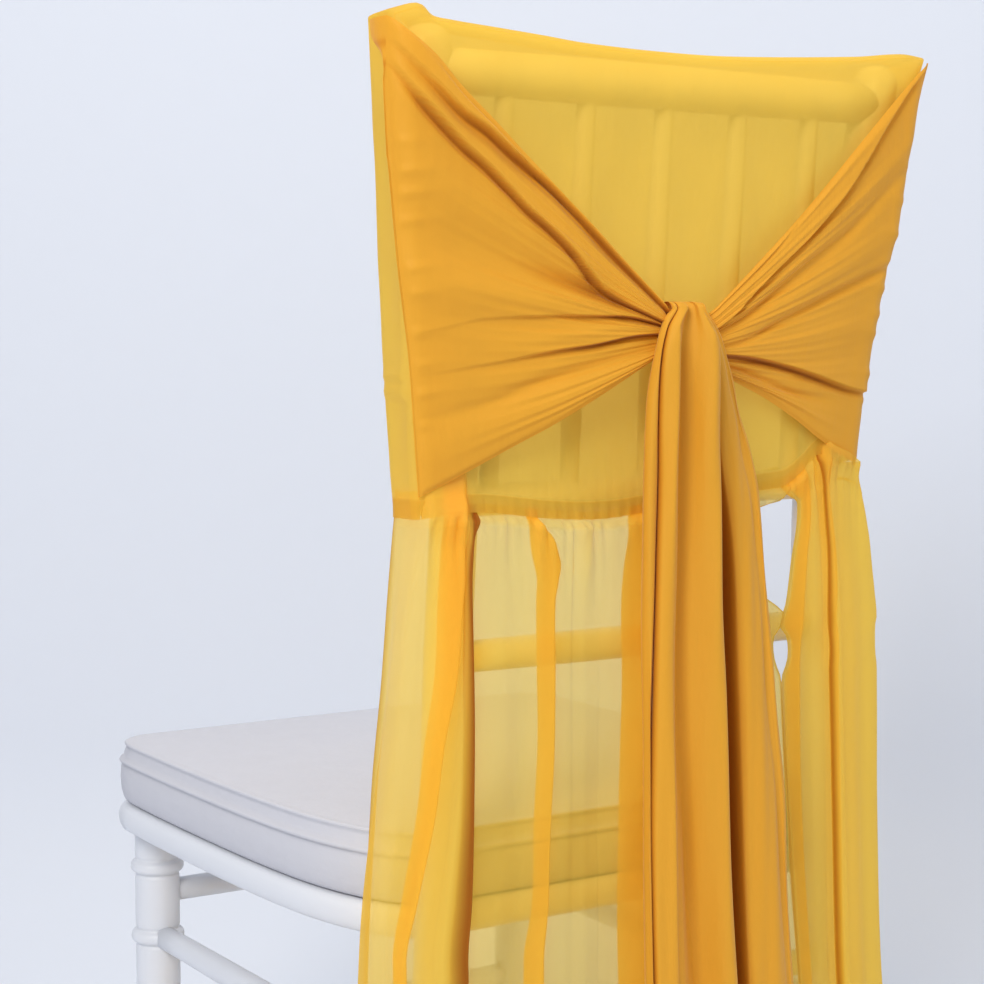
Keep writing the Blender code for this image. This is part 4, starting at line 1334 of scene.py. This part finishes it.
tailFront = {
    "rows": 170,
    "rollBack": 0.014,
    "top": 0.757,
    "end": 0.1,
    "depth": (
        (0.757, 0.036), (0.74, 0.0395), (0.7, 0.0405), (0.6, 0.044), (0.5, 0.0485), (0.36, 0.0585),
        (0.1, 0.0835),
    ),
    "lines": {
        "left": (
            (0.757, -0.0255), (0.752, -0.031), (0.74, -0.0365), (0.7, -0.0425), (0.6, -0.044),
            (0.5, -0.044), (0.36, -0.0495), (0.1, -0.055),
        ),
        "tuck": (
            (0.757, -0.0225), (0.745, -0.0315), (0.727, -0.0355), (0.692, -0.0358), (0.657, -0.035),
            (0.61, -0.0362), (0.568, -0.038), (0.5, -0.0415), (0.434, -0.0447), (0.365, -0.047),
            (0.1, -0.05),
        ),
        "bright": (
            (0.757, -0.018), (0.745, -0.027), (0.692, -0.029), (0.61, -0.029), (0.5, -0.0325),
            (0.365, -0.035), (0.1, -0.037),
        ),
        "valley": (
            (0.757, -0.014), (0.727, -0.02), (0.692, -0.019), (0.61, -0.019), (0.5, -0.0187),
            (0.43, -0.0168), (0.36, -0.0149), (0.1, -0.013),
        ),
        "crest": (
            (0.757, -0.008), (0.741, -0.0042), (0.72, -0.0033), (0.679, -0.0025), (0.638, -0.0005),
            (0.585, 0.001), (0.526, 0.0025), (0.408, 0.0037), (0.1, 0.0045),
        ),
        "right": (
            (0.757, -0.006), (0.75, -0.003), (0.741, 0.003), (0.72, 0.0058), (0.679, 0.0064),
            (0.638, 0.0082), (0.585, 0.0098), (0.526, 0.0114), (0.408, 0.0122), (0.1, 0.013),
        ),
    },
    # (line, aside, out, painted shade of the crease) through the tail from left to right
    "path": (
        ("left", 0.015, -0.011, 0.0), ("left", 0.005, -0.0095, 0.0), ("left", 0.0005, -0.004, 0.3),
        ("left", 0.0012, 0.0012, 0.2), ("tuck", -0.0024, 0.002, 0.3), ("tuck", 0.0014, -0.0026, 1.6),
        ("tuck", 0.0, 0.0008, 1.5), ("tuck", 0.0014, 0.0052, 0.4), ("bright", 0.0, 0.0082, 0.0),
        ("bright", 0.005, 0.004, 0.25), ("valley", 0.0, -0.0044, 0.75), ("valley", 0.005, -0.005, 0.8),
        ("valley", 0.01, -0.0004, 0.35), ("crest", -0.004, 0.0064, 0.0), ("crest", 0.001, 0.0098, 0.0),
        ("right", -0.0034, 0.0086, 0.0), ("right", -0.0004, 0.0034, 0.4),
        ("right", -0.0022, -0.005, 1.6), ("right", -0.009, -0.012, 1.8), ("right", -0.02, -0.014, 1.0),
    ),
    "fullness": ((0.757, 0.45), (0.74, 0.75), (0.7, 0.95), (0.1, 1.25)),
}
tailRear = {
    "rows": 150,
    "rollBack": 0.009,
    "top": 0.757,
    "end": 0.14,
    "depth": (
        (0.757, 0.016), (0.745, 0.0175), (0.7, 0.018), (0.64, 0.0225), (0.57, 0.028), (0.48, 0.0345),
        (0.34, 0.045), (0.14, 0.066),
    ),
    "lines": {
        "left": (
            (0.757, -0.01), (0.745, -0.01), (0.7, -0.01), (0.64, -0.008), (0.57, -0.006),
            (0.34, -0.004), (0.14, -0.002),
        ),
        "groove": (
            (0.757, -0.001), (0.745, 0.003), (0.7, 0.009), (0.664, 0.0135), (0.636, 0.018),
            (0.587, 0.022), (0.521, 0.0225), (0.402, 0.0213), (0.14, 0.0205),
        ),
        "slope": (
            (0.757, 0.004), (0.745, 0.009), (0.7, 0.0165), (0.664, 0.021), (0.636, 0.0255),
            (0.587, 0.0295), (0.521, 0.03), (0.402, 0.0288), (0.14, 0.028),
        ),
        "ridge": (
            (0.757, 0.008), (0.745, 0.0155), (0.7, 0.0275), (0.664, 0.0345), (0.636, 0.0395),
            (0.587, 0.044), (0.521, 0.047), (0.452, 0.0515), (0.345, 0.0535), (0.14, 0.056),
        ),
        "right": (
            (0.757, 0.0135), (0.75, 0.0185), (0.743, 0.0232), (0.727, 0.0304), (0.715, 0.0347),
            (0.697, 0.0394), (0.677, 0.0462), (0.656, 0.0524), (0.635, 0.055), (0.614, 0.0568),
            (0.579, 0.0598), (0.549, 0.0619), (0.519, 0.0637), (0.482, 0.0665), (0.452, 0.0677),
            (0.406, 0.0674), (0.345, 0.0694), (0.14, 0.072),
        ),
    },
    # As in the front tail, the fourth column is painted shade; it is deepest in the groove
    "path": (
        ("left", 0.01, -0.004, 0.0), ("left", 0.002, -0.003, 0.5), ("left", 0.002, -0.001, 1.0),
        ("groove", -0.008, -0.003, 1.6), ("groove", -0.001, -0.005, 2.0),
        ("groove", 0.0025, -0.0055, 2.0), ("groove", 0.0045, -0.001, 1.95),
        ("slope", -0.0012, 0.0095, 1.6), ("slope", 0.0012, 0.0115, 0.8), ("slope", 0.006, 0.013, 0.35),
        ("ridge", -0.004, 0.0135, 0.0), ("ridge", 0.002, 0.012, 0.0), ("ridge", 0.006, 0.009, 0.2),
        ("ridge", 0.009, 0.0085, 0.1), ("right", -0.005, 0.0088, 0.0), ("right", -0.001, 0.005, 0.1),
        ("right", -0.0004, -0.001, 0.4), ("right", -0.005, -0.005, 0.3), ("right", -0.015, -0.006, 0.0),
    ),
    "fullness": ((0.757, 0.3), (0.74, 0.5), (0.7, 0.8), (0.62, 1.0), (0.14, 1.15)),
}


# A tail: it comes up behind the knot, turns over its top and falls to its free end
def tailGrid(tail):
    top, end, rollBack = tail["top"], tail["end"], tail["rollBack"]
    turns = [pi * k / 10 for k in range(10)]
    stations = [(top, 0.0045 * sin(turn), rollBack * (1 + cos(turn)) / 2) for turn in turns]
    stations = [(top, -0.014, rollBack * 1.1), (top, -0.006, rollBack * 1.05)] + stations
    stations += [(mix(top, end, share), 0.0, 0.0) for share in np.linspace(0, 1, tail["rows"]) ** 1.25]
    rows, marks = [], []
    for z, lift, back in stations:
        size = float(smoothLine(tail["fullness"], z))
        depth = float(smoothLine(tail["depth"], z))
        at = {key: float(smoothLine(line, z)) for key, line in tail["lines"].items()}
        flat = 1.0 - 0.9 * min(back / rollBack, 1.0)
        shown = min(size, 1.0)
        controls = []
        for key, aside, out, shade in tail["path"]:
            controls.append((at[key] + aside * shown, out * size * flat, shade * shown))
        curve = through(controls, 7)
        # The fourth column is painted shade in the tail's creases: up to 1 through the hem mask, above 1
        # through the crease mask
        marks.append(np.maximum(curve[:, 2], 0))
        x, out = curve[:, 0], curve[:, 1]
        wander = 0.0006 * np.sin(x * 260 + z * 21) + 0.0004 * np.sin(x * 520 - z * 33 + 1.0)
        y = rearFace(z) - depth - out - wander * size + back
        rows.append(np.stack([x, y, np.full_like(x, z) + lift], axis=-1))
    grid = np.array(rows)
    mark = np.array(marks)
    return grid, np.where(grid[..., 2] < end + 0.010, np.maximum(mark, 1.0), mark)


def buildSash():
    grids, hemAndShadeMarks = zip(wingGrid(wingLeft), tailGrid(tailFront))
    left = hang(clothPiece("sashLeft", grids, sashCloth, hemAndShadeMarks), "sash_left")
    grids, hemAndShadeMarks = zip(wingGrid(wingRight), tailGrid(tailRear))
    right = hang(clothPiece("sashRight", grids, sashCloth, hemAndShadeMarks), "sash_right")


buildSash()
print("sash built")
